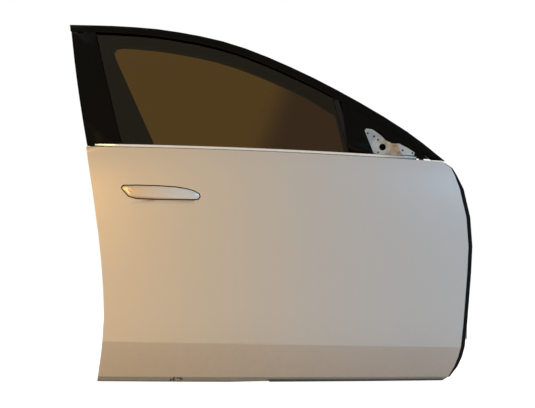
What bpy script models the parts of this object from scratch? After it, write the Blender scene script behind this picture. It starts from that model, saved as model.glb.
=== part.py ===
# Right-hand front car door: painted shell, black window frame, drop glass, regulator, latch, hinges.
# Metres, +Z up, +X towards the front of the car, -Y outboard.
# Modelling coordinates: X = 0 on the hinge axis, Y = 0 at the skin's fullest point, Z = 0 at its bottom edge.
import math

import bmesh
import bpy
from mathutils import Matrix, Vector

# Sheet gauges and fits
fit_gap = 0.0003
slide_gap = 0.0006
skin_gauge = 0.0008
panel_gauge = 0.0008
frame_gauge = 0.0010
beam_gauge = 0.0014

# Body outline
door_length = 1.129
belt_rear = 0.7245
belt_front = 0.678
belt_bow = 0.0075
crease_rear = 0.128
crease_front = 0.110

# Rear edge: share of the belt height, and how far it lies forward of its rearmost point
rear_edge = ((0.0, 0.030), (0.09, 0.043), (0.18, 0.054), (0.32, 0.059), (0.55, 0.049), (0.80, 0.025),
             (1.0, 0.0))
# Front edge: share of the belt height, and how far it lies ahead of the hinge axis
front_edge = (
    (0.0, -0.028), (0.012, -0.013), (0.10, 0.013), (0.20, 0.024), (0.38, 0.034), (0.55, 0.042),
    (0.62, 0.0437),
    (0.73, 0.0395), (0.81, 0.028), (0.89, 0.0160), (0.945, 0.002), (0.975, -0.008), (1.0, -0.031),
)
# Side section above the crease: share of the height from crease to belt, and the lean inboard
side_section = ((0.0, 0.006), (0.25, 0.0015), (0.50, 0.0), (0.78, 0.005), (0.92, 0.016), (1.0, 0.030))
sill_tuck = 0.050
crown_radius = 12.0
crown_middle = -0.53

# Hem and belt edge of the skin
hem_return = 0.0085
hem_depth = 0.0036
hem_tip_inset = 0.0045
ledge_width = 0.006
ledge_flange = 0.014

# Inner panel
flange_width = 0.014
flange_joggle = (0.006, 0.008)
shut_step_y = 0.055
shut_face_inset = 0.025
shut_face_draft = 0.003
inner_face = 0.128
inner_edge = 0.013
seat_shares = (0.86, 0.92)
seat_gap = 0.0006
hinge_face_x = -0.034
hinge_face_y = 0.040
front_wall_inset = 0.050

# Drop glass: a cylinder about a far, tilted axis
glass_radius = 1.60
glass_rake = math.radians(16.0)
glass_toe = 0.020
glass_lean = math.radians(6.5)
glass_point = Vector((-0.60, 0.060, 0.700))
glass_gauge = 0.004
glass_rear_inset = 0.079
glass_rear_x = glass_rear_inset - door_length
glass_front_x = -0.306
glass_below_belt = 0.062
glass_drop_angle = math.radians(14.6)

# Window frame
foot_x = -0.046
rear_top_overhang = 0.084
rear_frame_bow = 0.0015
frame_over_belt = 0.003
pan_over_belt = 0.0105
# Roof line: share from the front foot to the rear top corner, and rise over the belt's front end
roof_line = (
    (0.0, 0.0215), (0.0725, 0.088), (0.2027, 0.184), (0.3726, 0.291), (0.5454, 0.377),
    (0.7177, 0.425), (0.8535, 0.4435), (1.0, 0.4525),
)
aperture_band = 0.059
aperture_corner = 0.036
aperture_front_bottom = (-0.333, 0.716)
aperture_front_top = (-0.358, 0.822)
gusset_top = 0.142
gusset_belt = 0.209
pan_depth = 0.032
channel_half = 0.0076
channel_leg = 0.019
moulding_wall = 0.0020
moulding_width = 0.026
moulding_wrap = 0.009
moulding_spare = 0.034
cutter_reach = 0.12
pillar_cover_belt = 0.108
pillar_cover_top = 0.079
border_front_belt = -0.318
border_front_top = (-0.352, 0.900)

# Glass run seal
run_floor = 0.0010
run_base = 0.0047
run_leg = 0.008
run_depth_front = 0.30
run_depth_rear = 0.36
lip_gap = 0.0005

# Belt mouldings and seals
lip_height = 0.0095
strip_rear_inset = 0.027
strip_front_x = -0.112
leg_gauge = 0.0020
seal_end_gap = 0.003

# Regulator
rail_rear_share = 0.22
rail_front_share = 0.74
rail_half_width = 0.012
rail_face = 0.0115
rail_depth = 0.010
rail_gauge = 0.0014
carrier_half_width = 0.030
carrier_grip = 0.014
carrier_base = 0.010
carrier_wall = 0.0035
shoe_length = 0.036
rail_spare = 0.010
pulley_offset = 0.016
drum_radius = 0.020
drum_width = 0.012
drum_share = 0.52419
drum_x = glass_rear_x + drum_share * (glass_front_x - glass_rear_x)
drum_z = 0.185
pulley_radius = 0.012
pulley_width = 0.007
cable_radius = 0.0012

# Outer handle: outline round it, forward of its rear end and above its lower edge
handle_rear_inset = 0.113
handle_rear_x = handle_rear_inset - door_length
handle_low_z = 0.5608
handle_outline = (
    (0.000, 0.0363), (0.0055, 0.0435), (0.050, 0.0437), (0.109, 0.0421), (0.167, 0.0381), (0.200, 0.0326),
    (0.223, 0.0256), (0.238, 0.0168), (0.240, 0.0090), (0.235, 0.0012), (0.226, 0.0000), (0.167, 0.0012),
    (0.109, 0.0015), (0.045, 0.0037), (0.022, 0.0110), (0.0060, 0.0284),
)
handle_gap = 0.0022
handle_depth = 0.009
handle_bulge = 0.0035
handle_pivot_back = 0.036
handle_pivot_y = 0.01677
handle_barrel = 0.0050
handle_pin_radius = 0.0020
pocket_depth = 0.0225
pocket_side = 0.0050
pocket_flange = 0.009
pocket_gauge = 0.0012

# Latch on the rear shut face
latch_rows = (0.54, 0.70)
latch_y = 0.081
latch_size = (0.040, 0.056, 0.092)
latch_plate = 0.0030
fork_radius = 0.023
fork_gauge = 0.0050
fork_pin_radius = 0.0040
slot_width = 0.013

# Hinges
hinge_y = 0.066
upper_hinge_z = 0.513
lower_hinge_z = 0.157
hinge_half = 0.030
pin_radius = 0.0050
knuckle_radius = 0.0090
knuckle_split = 0.0115
leaf_gauge = 0.0060
pillar_face_y = 0.0865
pillar_plate = 0.0050
pillar_near_x = 0.008
pillar_far_x = 0.052
bolt_hole_radius = 0.0045

# Seals round the door
bulb_radius = 0.0075
front_seal_width = 0.0140
bottom_seal_drop = 0.0030
bottom_seal_drop_front = 0.0005
bottom_seal_rise = 0.0095
bottom_seal_rear_x = -0.565

# Intrusion beam
beam_radius = 0.0125
beam_y = 0.0262
beam_front = (-0.078, 0.430)
beam_rear_inset = 0.124
beam_rear = (beam_rear_inset - door_length, 0.235)

# Access holes in the inner panel: lowest and highest corner
main_hole_rear = 0.329 - door_length
latch_hole_rear = 0.097 - door_length
latch_hole_front = 0.151 - door_length
access_holes = (
    ((main_hole_rear, 0.265), (-0.520, 0.560)),
    ((latch_hole_rear, 0.300), (latch_hole_front, 0.440)),
    ((-0.185, 0.330), (-0.075, 0.470)),
)
hole_corners = (0.035, 0.020, 0.030)
speaker_centre = (-0.235, 0.195)
speaker_radius = 0.078

# Mirror mounting plate: outline behind the hinge axis and above the bottom edge
mirror_outline = (
    (-0.265, 0.781), (-0.246, 0.778), (-0.221, 0.760), (-0.205, 0.744), (-0.184, 0.734), (-0.164, 0.734),
    (-0.137, 0.720), (-0.116, 0.706), (-0.118, 0.697), (-0.226, 0.698), (-0.243, 0.705), (-0.270, 0.774),
)
mirror_holes = (
    (-0.260, 0.766, 0.0030), (-0.241, 0.756, 0.0034), (-0.229, 0.746, 0.0034), (-0.229, 0.707, 0.0028),
    (-0.215, 0.723, 0.0105), (-0.153, 0.713, 0.0030), (-0.123, 0.7045, 0.0030),
)
mirror_centre = (-0.195, 0.735)
mirror_face = 0.0106
mirror_gauge = 0.0015
mirror_gap = 0.0020
mirror_posts = ((-0.250, 0.742), (-0.190, 0.712), (-0.140, 0.706))
mirror_post_radius = 0.0045
mirror_bead = ((-0.180, 0.729), (-0.162, 0.7035))
bead_rise = 0.0022
bead_radius = 0.0042

# Grid rows and columns
lower_rows = (0.0, 0.10, 0.40, 0.70)
front_lean_start = 0.95
front_lean_step = 0.010
upper_rows = (0.0, 0.12, 0.26, 0.40, 0.54, 0.70, 0.78, 0.85, 0.925, 0.965, 1.0)
column_shares = (0.0, 0.075, 0.16, 0.27, 0.38, 0.50, 0.62, 0.73, 0.84, 0.925, 1.0)


# Scene, collections and materials

for thing in list(bpy.data.objects):
    bpy.data.objects.remove(thing, do_unlink=True)

door = bpy.data.collections.new("car_door")
cutters = bpy.data.collections.new("cutters")
bpy.context.scene.collection.children.link(door)
bpy.context.scene.collection.children.link(cutters)

datum_shift = Vector((-(pillar_near_x + pillar_far_x) / 2, -pillar_face_y, -upper_hinge_z))
datum = bpy.data.objects.new("door_datum", None)
datum.location = datum_shift
door.objects.link(datum)


def material(name, colour, roughness, metallic=0.0, alpha=1.0):
    """A plain Principled finish"""
    finish = bpy.data.materials.new(name)
    finish.use_nodes = True
    shader = finish.node_tree.nodes["Principled BSDF"]
    shader.inputs["Base Color"].default_value = (*colour, 1.0)
    shader.inputs["Roughness"].default_value = roughness
    shader.inputs["Metallic"].default_value = metallic
    shader.inputs["Alpha"].default_value = alpha
    finish.diffuse_color = (*colour, alpha)
    return finish


paint = material("silver_white_paint", (0.56, 0.53, 0.49), 0.30)
inner_paint = material("inner_panel_paint", (0.50, 0.48, 0.45), 0.45)
black_trim = material("gloss_black_trim", (0.010, 0.010, 0.009), 0.25)
frame_black = material("frame_black", (0.020, 0.019, 0.017), 0.50)
rubber = material("black_rubber", (0.012, 0.012, 0.012), 0.75)
tinted_glass = material("tinted_glass", (0.060, 0.035, 0.015), 0.05, 0.0, 0.6)
bright_strip = material("bright_strip", (0.68, 0.63, 0.56), 0.30, 0.3)
zinc = material("zinc_steel", (0.55, 0.55, 0.52), 0.38, 0.9)
dark_steel = material("dark_steel", (0.08, 0.08, 0.085), 0.45, 0.8)
plastic = material("black_plastic", (0.025, 0.025, 0.027), 0.55)
white_plastic = material("white_plastic", (0.70, 0.70, 0.68), 0.45)
mirror_paint = material("mirror_plate_paint", (0.48, 0.46, 0.43), 0.35, 0.2)


# Building tools

def add_object(name, mesh, finish, origin=Vector((0.0, 0.0, 0.0)), group=None):
    """Put a mesh given in modelling coordinates into the door, with its origin on a chosen point"""
    mesh.transform(Matrix.Translation(-origin))
    thing = bpy.data.objects.new(name, mesh)
    thing.location = origin
    thing.parent = datum
    if group is None:
        door.objects.link(thing)
        mesh.materials.append(finish)
    else:
        group.objects.link(thing)
        thing.hide_render = True
        thing.display_type = "WIRE"
    return thing


def mesh_from(name, points, faces, recalculate=True):
    """A mesh from points and faces"""
    mesh = bpy.data.meshes.new(name)
    work = bmesh.new()
    corners = [work.verts.new(point) for point in points]
    for face in faces:
        work.faces.new([corners[index] for index in face])
    if recalculate:
        bmesh.ops.recalc_face_normals(work, faces=work.faces)
    work.to_mesh(mesh)
    work.free()
    return mesh


def ring_faces(count, size, closed=False):
    """Quads between rings of equal size, with end caps unless the rings close on themselves"""
    faces = []
    last = count if closed else count - 1
    for ring in range(last):
        after = (ring + 1) % count
        for spot in range(size):
            beside = (spot + 1) % size
            faces.append((ring * size + spot, ring * size + beside, after * size + beside,
                          after * size + spot))
    if not closed:
        faces.append(tuple(reversed(range(size))))
        faces.append(tuple((count - 1) * size + spot for spot in range(size)))
    return faces


def loft(name, rings, finish, closed=False, origin=Vector((0.0, 0.0, 0.0)), group=None):
    """A closed solid through rings of points"""
    points = [point for ring in rings for point in ring]
    mesh = mesh_from(name, points, ring_faces(len(rings), len(rings[0]), closed))
    return add_object(name, mesh, finish, origin, group)


def sheet(name, rows, finish, gauge, flip=False):
    """A sheet through rows of points, thickened away from its reference face"""
    width = len(rows[0])
    points = [point for row in rows for point in row]
    faces = []
    for row in range(len(rows) - 1):
        for spot in range(width - 1):
            corner = row * width + spot
            face = (corner, corner + 1, corner + width + 1, corner + width)
            faces.append(tuple(reversed(face)) if flip else face)
    thing = add_object(name, mesh_from(name, points, faces, False), finish)
    thicken(thing, gauge)
    return thing


def thicken(thing, gauge):
    """Give an open sheet its thickness behind its reference face"""
    solid = thing.modifiers.new("gauge", "SOLIDIFY")
    solid.thickness = gauge
    solid.offset = -1.0
    solid.use_even_offset = True
    return solid


def cut(thing, cutter):
    """Take a cutter's shape out of a piece"""
    taken = thing.modifiers.new("cut_" + cutter.name, "BOOLEAN")
    taken.operation = "DIFFERENCE"
    taken.object = cutter
    taken.solver = "EXACT"


def weld(thing, tool):
    """Join a tool's shape to a piece"""
    added = thing.modifiers.new("weld_" + tool.name, "BOOLEAN")
    added.operation = "UNION"
    added.object = tool
    added.solver = "EXACT"


def block_mesh(name, low, high):
    """A box between two corners"""
    mesh = bpy.data.meshes.new(name)
    work = bmesh.new()
    size = Vector(high) - Vector(low)
    middle = (Vector(high) + Vector(low)) / 2
    bmesh.ops.create_cube(work, size=1.0, matrix=Matrix.Translation(middle) @ Matrix.Diagonal((*size, 1.0)))
    work.to_mesh(mesh)
    work.free()
    return mesh


def round_mesh(name, start, end, radius, sides=16):
    """A round bar between two points"""
    mesh = bpy.data.meshes.new(name)
    work = bmesh.new()
    line = Vector(end) - Vector(start)
    place = Matrix.Translation((Vector(start) + Vector(end)) / 2)
    turn = line.to_track_quat("Z", "Y").to_matrix().to_4x4()
    bmesh.ops.create_cone(work, cap_ends=True, segments=sides, radius1=radius, radius2=radius,
                          depth=line.length, matrix=place @ turn)
    work.to_mesh(mesh)
    work.free()
    mesh.shade_smooth()
    mesh.set_sharp_from_angle(angle=math.radians(40))
    return mesh


def bar(name, start, end, radius, finish, sides=16, origin=None, group=None):
    """A round bar as a piece"""
    middle = (Vector(start) + Vector(end)) / 2 if origin is None else origin
    return add_object(name, round_mesh(name, start, end, radius, sides), finish, middle, group)


def prism(name, outline, low, high, finish, group=None, origin=Vector((0.0, 0.0, 0.0))):
    """A flat outline in X and Z, extruded in Y"""
    rings = [[Vector((x, y, z)) for x, z in outline] for y in (low, high)]
    return loft(name, rings, finish, False, origin, group)


def flat_shape(name, outlines, gauge, place, finish, origin=None, group=None):
    """A filled flat curve, extruded to a gauge, placed by a matrix and made a mesh"""
    shape = bpy.data.curves.new(name + "_outline", "CURVE")
    shape.dimensions = "2D"
    shape.fill_mode = "BOTH"
    shape.extrude = gauge / 2
    for outline in outlines:
        spline = shape.splines.new("POLY")
        spline.points.add(len(outline) - 1)
        for spot, (x, y) in enumerate(outline):
            spline.points[spot].co = (x, y, 0.0, 1.0)
        spline.use_cyclic_u = True
    holder = bpy.data.objects.new(name + "_outline", shape)
    bpy.context.scene.collection.objects.link(holder)
    mesh = bpy.data.meshes.new_from_object(holder.evaluated_get(bpy.context.evaluated_depsgraph_get()))
    bpy.data.objects.remove(holder, do_unlink=True)
    work = bmesh.new()
    work.from_mesh(mesh)
    bmesh.ops.remove_doubles(work, verts=work.verts, dist=0.00001)
    bmesh.ops.recalc_face_normals(work, faces=work.faces)
    work.to_mesh(mesh)
    work.free()
    mesh.transform(place)
    mesh.materials.clear()
    start = place.translation.copy() if origin is None else origin
    return add_object(name, mesh, finish, start, group)


def tube(name, route, radius, finish, closed=False, resolution=2, origin=None):
    """A tube along a route of points, with filled ends"""
    shape = bpy.data.curves.new(name + "_route", "CURVE")
    shape.dimensions = "3D"
    shape.bevel_depth = radius
    shape.bevel_resolution = resolution
    shape.use_fill_caps = not closed
    spline = shape.splines.new("POLY")
    spline.points.add(len(route) - 1)
    for spot, point in enumerate(route):
        spline.points[spot].co = (*point, 1.0)
    spline.use_cyclic_u = closed
    holder = bpy.data.objects.new(name + "_route", shape)
    bpy.context.scene.collection.objects.link(holder)
    mesh = bpy.data.meshes.new_from_object(holder.evaluated_get(bpy.context.evaluated_depsgraph_get()))
    bpy.data.objects.remove(holder, do_unlink=True)
    work = bmesh.new()
    work.from_mesh(mesh)
    bmesh.ops.remove_doubles(work, verts=work.verts, dist=0.00001)
    bmesh.ops.recalc_face_normals(work, faces=work.faces)
    work.to_mesh(mesh)
    work.free()
    mesh.shade_smooth()
    mesh.materials.clear()
    start = Vector(route[0]) if origin is None else origin
    return add_object(name, mesh, finish, start)


def smooth(stations, position):
    """Value at a position on a smooth curve through (position, value) stations"""
    last = len(stations) - 1
    spot = 0
    while spot < last - 1 and position > stations[spot + 1][0]:
        spot += 1

    def slope(index):
        low = stations[max(index - 1, 0)]
        high = stations[min(index + 1, last)]
        return (high[1] - low[1]) / (high[0] - low[0])

    span = stations[spot + 1][0] - stations[spot][0]
    t = (position - stations[spot][0]) / span
    start_part = (2 * t ** 3 - 3 * t ** 2 + 1) * stations[spot][1] + (t ** 3 - 2 * t ** 2 + t) * slope(spot) * span
    end_part = (3 * t ** 2 - 2 * t ** 3) * stations[spot + 1][1] + (t ** 3 - t ** 2) * slope(spot + 1) * span
    return start_part + end_part


def blend(start, end, share):
    """A value or point part of the way between two others"""
    return start + (end - start) * share


# Form of the body side

def rear_x(height):
    """Rear edge of the door at a height"""
    return -door_length + smooth(rear_edge, height / belt_rear)


def front_x(height):
    """Front edge of the door at a height"""
    return smooth(front_edge, height / belt_front)


belt_rear_x = rear_x(belt_rear)
belt_front_x = front_x(belt_front)
border_rear_belt = belt_rear_x + pillar_cover_belt


def length_share(x):
    """Share of the belt's length at a place"""
    return (x - belt_rear_x) / (belt_front_x - belt_rear_x)


def belt_z(x):
    """Height of the belt line"""
    share = length_share(x)
    return blend(belt_rear, belt_front, share) + 4 * belt_bow * share * (1 - share)


def crease_z(x):
    """Height of the low crease"""
    return blend(crease_rear, crease_front, length_share(x))


def side_lean(share):
    """Lean of the side section at a share of the height, straight between the grid's rows"""
    row = 0
    while row < len(upper_rows) - 2 and share > upper_rows[row + 1]:
        row += 1
    low = smooth(side_section, upper_rows[row])
    high = smooth(side_section, upper_rows[row + 1])
    return blend(low, high, (share - upper_rows[row]) / (upper_rows[row + 1] - upper_rows[row]))


def skin_y(x, z):
    """Outer face of the body side"""
    crown = (x - crown_middle) ** 2 / (2 * crown_radius)
    crease = crease_z(x)
    if z < crease:
        return crown + side_section[0][1] + sill_tuck * (1 - z / crease)
    return crown + side_lean((z - crease) / (belt_z(x) - crease))


def row_heights(belt, crease, lift=0.0):
    """Heights of the grid rows on an edge, from the bottom edge to the belt"""
    heights = [blend(lift, crease, share) for share in lower_rows]
    return heights + [blend(crease, belt, share) for share in upper_rows]


row_count = len(lower_rows) + len(upper_rows)


def front_spread(height):
    """Width along X of a strip of width 1 on the front edge, which leans back under the belt"""
    if height < front_lean_start * belt_front:
        return 1.0
    slope = (front_x(belt_front) - front_x(height - front_lean_step)) / (belt_front - height + front_lean_step)
    return math.sqrt(1.0 + slope ** 2)


def edges(inset_rear, inset_bottom, inset_front, front_side=None):
    """The three lower sides of the outline, moved in by an inset on each side"""
    front_side = front_x if front_side is None else front_side
    rear = [(rear_x(height) + inset_rear, height)
            for height in row_heights(belt_rear, crease_rear, inset_bottom)]
    front = [(front_side(height) - inset_front * front_spread(height), height)
             for height in row_heights(belt_front, crease_front, inset_bottom)]
    bottom = [(blend(rear[0][0], front[0][0], share), inset_bottom) for share in column_shares]
    return rear, bottom, front


def perimeter(rear, bottom, front):
    """One run of points from the belt down the rear edge, along the bottom and up the front edge"""
    return list(reversed(rear)) + bottom[1:-1] + front


def patch(rear, bottom, front):
    """Grid of points in the outline, row by row from the bottom edge to the belt"""
    top = [(blend(rear[-1][0], front[-1][0], share), 0.0) for share in column_shares]
    top = [(x, belt_z(x)) for x, nothing in top]
    rows = []
    for row in range(row_count):
        height_share = (rear[row][1] - rear[0][1]) / (rear[-1][1] - rear[0][1])
        line = []
        for column, share in enumerate(column_shares):
            side = (Vector(rear[row]) * (1 - share) + Vector(front[row]) * share)
            low_line = Vector(rear[0]) * (1 - share) + Vector(front[0]) * share
            high_line = Vector(rear[-1]) * (1 - share) + Vector(front[-1]) * share
            lift = (Vector(bottom[column]) - low_line) * (1 - height_share)
            lift += (Vector(top[column]) - high_line) * height_share
            line.append(side + lift)
        rows.append(line)
    return rows


def edged_panel(name, rows, rings, top_strips, finish, gauge):
    """A grid with strips along its three lower sides, and others along part of its top edge"""
    width = len(rows[0])
    height = len(rows)
    points = [point for row in rows for point in row]
    faces = []
    for row in range(height - 1):
        for column in range(width - 1):
            corner = row * width + column
            faces.append((corner, corner + 1, corner + width + 1, corner + width))
    run = [row * width for row in reversed(range(height))]
    run += list(range(1, width - 1))
    run += [row * width + width - 1 for row in range(height)]
    for ring in rings:
        start = len(points)
        points += ring
        outer = list(range(start, start + len(ring)))
        for spot in range(len(run) - 1):
            faces.append((run[spot + 1], run[spot], outer[spot], outer[spot + 1]))
        run = outer
    top = [(height - 1) * width + column for column in range(1, width - 1)]
    for strip in top_strips:
        start = len(points)
        points += strip
        outer = list(range(start, start + len(strip)))
        for spot in range(len(top) - 1):
            faces.append((top[spot], top[spot + 1], outer[spot + 1], outer[spot]))
        top = outer
    thing = add_object(name, mesh_from(name, points, faces, False), finish)
    thicken(thing, gauge)
    return thing


# Form of the glass: u runs forward along its axis, v up round its curve, n outboard from its middle

glass_u = Vector((math.cos(glass_rake), glass_toe, math.sin(glass_rake))).normalized()
glass_v = Vector((-math.sin(glass_rake), 0.0, math.cos(glass_rake)))
glass_n = glass_u.cross(glass_v)
glass_axis = glass_point - glass_radius * (glass_n * math.cos(glass_lean) + glass_v * math.sin(glass_lean))


def on_glass(u, v, n=0.0):
    """A point in the glass's curved space"""
    turn = v / glass_radius
    return glass_axis + glass_u * u + (glass_radius + n) * (glass_n * math.cos(turn) + glass_v * math.sin(turn))


def glass_y(x, z, n=0.0):
    """Depth of the glass's curved surface, offset by n, at a place in the side view"""
    base = Vector((x, 0.0, z)) - glass_axis
    along = base.dot(glass_u)
    a = 1 - glass_u.y ** 2
    b = 2 * (base.y - along * glass_u.y)
    c = base.length_squared - along ** 2 - (glass_radius + n) ** 2
    return (-b - math.sqrt(b * b - 4 * a * c)) / (2 * a)


def to_glass(x, z, n=0.0):
    """Curved-space place of a point in the side view"""
    reach = Vector((x, glass_y(x, z, n), z)) - glass_axis
    return Vector((reach.dot(glass_u), glass_radius * math.atan2(reach.dot(glass_v), reach.dot(glass_n))))


def mitres(path):
    """Inward direction at each point of a path, to the left of travel, lengthened at corners"""
    inward = []
    for spot in range(len(path)):
        before = path[spot] - path[spot - 1] if spot > 0 else path[1] - path[0]
        after = path[spot + 1] - path[spot] if spot < len(path) - 1 else path[-1] - path[-2]
        left_before = Vector((-before.y, before.x)).normalized()
        left_after = Vector((-after.y, after.x)).normalized()
        middle = (left_before + left_after).normalized()
        inward.append(middle / max(middle.dot(left_after), 0.3))
    return inward


def offset_path(path, distance):
    """A path moved inward by a distance"""
    return [point + side * distance for point, side in zip(path, mitres(path))]


def run_on_glass(name, path, section, finish, gauge=None, flip=False, group=None):
    """A section of (inward, outboard) places swept along a path on the glass"""
    rows = []
    for point, side in zip(path, mitres(path)):
        row = []
        for inward, outboard in section:
            place = point + side * inward
            row.append(on_glass(place.x, place.y, outboard))
        rows.append(row)
    if gauge is None:
        return loft(name, rows, finish, False, Vector((0.0, 0.0, 0.0)), group)
    return sheet(name, rows, finish, gauge, flip)


def crossing(path, u):
    """Height v of a path at a place u"""
    for start, end in zip(path, path[1:]):
        if min(start.x, end.x) <= u <= max(start.x, end.x) and start.x != end.x:
            return blend(start.y, end.y, (u - start.x) / (end.x - start.x))
    return path[0].y if abs(path[0].x - u) < abs(path[-1].x - u) else path[-1].y


def stretch(start, end, steps):
    """Evenly spaced values from start to end"""
    return [blend(start, end, step / steps) for step in range(steps + 1)]


# Outline of the window frame, at the face of its mouldings

rear_top_x = -door_length - rear_top_overhang
rear_top_z = belt_front + roof_line[-1][1]
frame_face = channel_half + frame_gauge + fit_gap + moulding_wall


def roof_point(share):
    """A point of the roof line"""
    return blend(foot_x, rear_top_x, share), belt_front + smooth(roof_line, share)


def rear_frame_x(z):
    """Rear edge of the window frame at a height"""
    share = (z - belt_rear) / (rear_top_z - belt_rear)
    return blend(belt_rear_x, rear_top_x, share) - 4 * rear_frame_bow * share * (1 - share)


roof_shares = stretch(0.0, 0.08, 2) + stretch(0.08, 1.0, 15)[1:]
frame_rear_z = stretch(rear_top_z, belt_rear + pan_over_belt, 8)
roof_path = [to_glass(*roof_point(share), frame_face) for share in roof_shares]
rear_path = [to_glass(rear_frame_x(z), z, frame_face) for z in frame_rear_z]
frame_path = roof_path + rear_path[1:]
# The roof moulding runs on past both corners, where it is cut to the belt and to the rear edge
header_path = [roof_path[0] + (roof_path[0] - roof_path[1]).normalized() * moulding_spare]
header_path += roof_path
header_path.append(roof_path[-1] + (roof_path[-1] - roof_path[-2]).normalized() * moulding_spare)

glass_inset = moulding_wall + fit_gap + frame_gauge + fit_gap + run_base + run_floor
glass_top_path = offset_path(frame_path, glass_inset)[:len(roof_path)]
glass_rear_u = to_glass(glass_rear_x, belt_z(glass_rear_x)).x
glass_front_u = to_glass(glass_front_x, belt_z(glass_front_x)).x


def belt_v(u):
    """Curved-space height of the belt line at a place u on the glass"""
    x = glass_point.x + (u - to_glass(glass_point.x, glass_point.z).x) * math.cos(glass_rake)
    for step in range(6):
        x += (u - to_glass(x, belt_z(x)).x) * math.cos(glass_rake)
    return to_glass(x, belt_z(x)).y


# Outer skin, hemmed round the inner panel

def make_outer_skin():
    rear, bottom, front = edges(0.0, 0.0, 0.0)
    rows = patch(rear, bottom, front)
    face = [[Vector((p.x, skin_y(p.x, p.y), p.y)) for p in row] for row in rows]
    fold = [Vector((x, skin_y(x, z) + hem_depth, z)) for x, z in perimeter(rear, bottom, front)]
    back = [Vector((x, skin_y(x, z) + hem_depth, z))
            for x, z in perimeter(*edges(hem_return, hem_return, hem_return))]
    top = face[-1][1:-1]
    ledge = [point + Vector((0.0, ledge_width, 0.0)) for point in top]
    flange = [point + Vector((0.0, 0.0, -ledge_flange)) for point in ledge]
    skin = edged_panel("outer_skin", face, [fold, back], [ledge, flange], paint, skin_gauge)
    opening = prism("handle_opening", handle_ring(handle_gap), -0.02, 0.02, None, cutters)
    cut(skin, opening)
    return skin


def grown(points, grow):
    """A clockwise outline moved outwards all round"""
    ring = []
    for spot, point in enumerate(points):
        before = point - points[spot - 1]
        after = points[(spot + 1) % len(points)] - point
        out_before = Vector((-before.y, before.x)).normalized()
        out_after = Vector((-after.y, after.x)).normalized()
        out = (out_before + out_after).normalized()
        ring.append(point + out * grow / max(out.dot(out_after), 0.5))
    return ring


def handle_ring(grow):
    """The handle's outline in the side view, grown outwards all round"""
    return grown([Vector((handle_rear_x + x, handle_low_z + z)) for x, z in handle_outline], grow)


# Inner panel: hem flange, shut faces with a step, inner face with access holes

def front_wall_x(height):
    """Hinge face of the inner panel: flat over the hinges, following the outline above and below"""
    return min(hinge_face_x, front_x(height) - front_wall_inset)


def shut_face_x(y, z):
    """Cavity side of the rear shut face at a depth and a height"""
    draft = shut_face_draft * (y - shut_step_y) / (inner_face - inner_edge - shut_step_y)
    return rear_x(z) + shut_face_inset + draft


panel_seat = pan_depth + frame_gauge + seat_gap


def inner_y(x, z):
    """Cavity side of the inner panel's inner face: it comes outboard to the window frame at the belt"""
    height = (z - crease_z(x)) / (belt_z(x) - crease_z(x))
    share = (height - seat_shares[0]) / (seat_shares[1] - seat_shares[0])
    return blend(inner_face, glass_y(x, z, -panel_seat), min(max(share, 0.0), 1.0))


def make_inner_panel():
    behind_skin = skin_gauge + fit_gap
    step_clear = behind_skin + flange_joggle[1] + 0.005
    tip = perimeter(*edges(hem_tip_inset, hem_tip_inset, hem_tip_inset))
    root = perimeter(*edges(flange_width, flange_width, flange_width))
    joggle = flange_width + flange_joggle[0]
    bend = perimeter(*edges(joggle, joggle, joggle))
    step = perimeter(*edges(shut_face_inset, shut_face_inset, 0.0, front_wall_x))
    wall = perimeter(*edges(shut_face_inset + shut_face_draft, shut_face_inset + shut_face_draft,
                            0.0, front_wall_x))
    turn = edges(shut_face_inset + inner_edge, shut_face_inset + inner_edge, inner_edge, front_wall_x)
    front_start = len(tip) - row_count
    rings = [
        [Vector((x, inner_y(x, z) - inner_edge, z)) for x, z in wall],
        [Vector((x, max(hinge_face_y if spot >= front_start else shut_step_y, skin_y(x, z) + step_clear), z))
         for spot, (x, z) in enumerate(step)],
        [Vector((x, skin_y(x, z) + behind_skin + flange_joggle[1], z)) for x, z in bend],
        [Vector((x, skin_y(x, z) + behind_skin, z)) for x, z in root],
        [Vector((x, skin_y(x, z) + behind_skin, z)) for x, z in tip],
    ]
    rows = patch(*turn)
    face = [[Vector((p.x, inner_y(p.x, p.y), p.y)) for p in row] for row in rows]
    panel = edged_panel("inner_panel", face, rings, [], inner_paint, panel_gauge)
    for number, ((low, high), corner) in enumerate(zip(access_holes, hole_corners), 1):
        name = "access_hole_" + str(number)
        cut(panel, prism(name, rounded_box(low, high, corner), inner_face - 0.02, inner_face + 0.02,
                         None, cutters))
    centre = (speaker_centre[0], 0.0, speaker_centre[1])
    hole = bar("speaker_hole", Vector(centre) + Vector((0.0, inner_face - 0.02, 0.0)),
               Vector(centre) + Vector((0.0, inner_face + 0.02, 0.0)), speaker_radius, None, 28, None,
               cutters)
    cut(panel, hole)
    cut(panel, latch_slot_cutter())
    return panel


def rounded_box(low, high, radius, steps=3):
    """Outline of a box with round corners"""
    centres = ((high[0] - radius, high[1] - radius, 0), (low[0] + radius, high[1] - radius, 90),
               (low[0] + radius, low[1] + radius, 180), (high[0] - radius, low[1] + radius, 270))
    outline = []
    for x, z, start in centres:
        for step in range(steps + 1):
            angle = math.radians(start + 90 * step / steps)
            outline.append(Vector((x + radius * math.cos(angle), z + radius * math.sin(angle))))
    return outline


# Window frame: inner pan, run channel and mouldings

pan_lip = channel_half + frame_gauge + 2 * fit_gap


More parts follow.
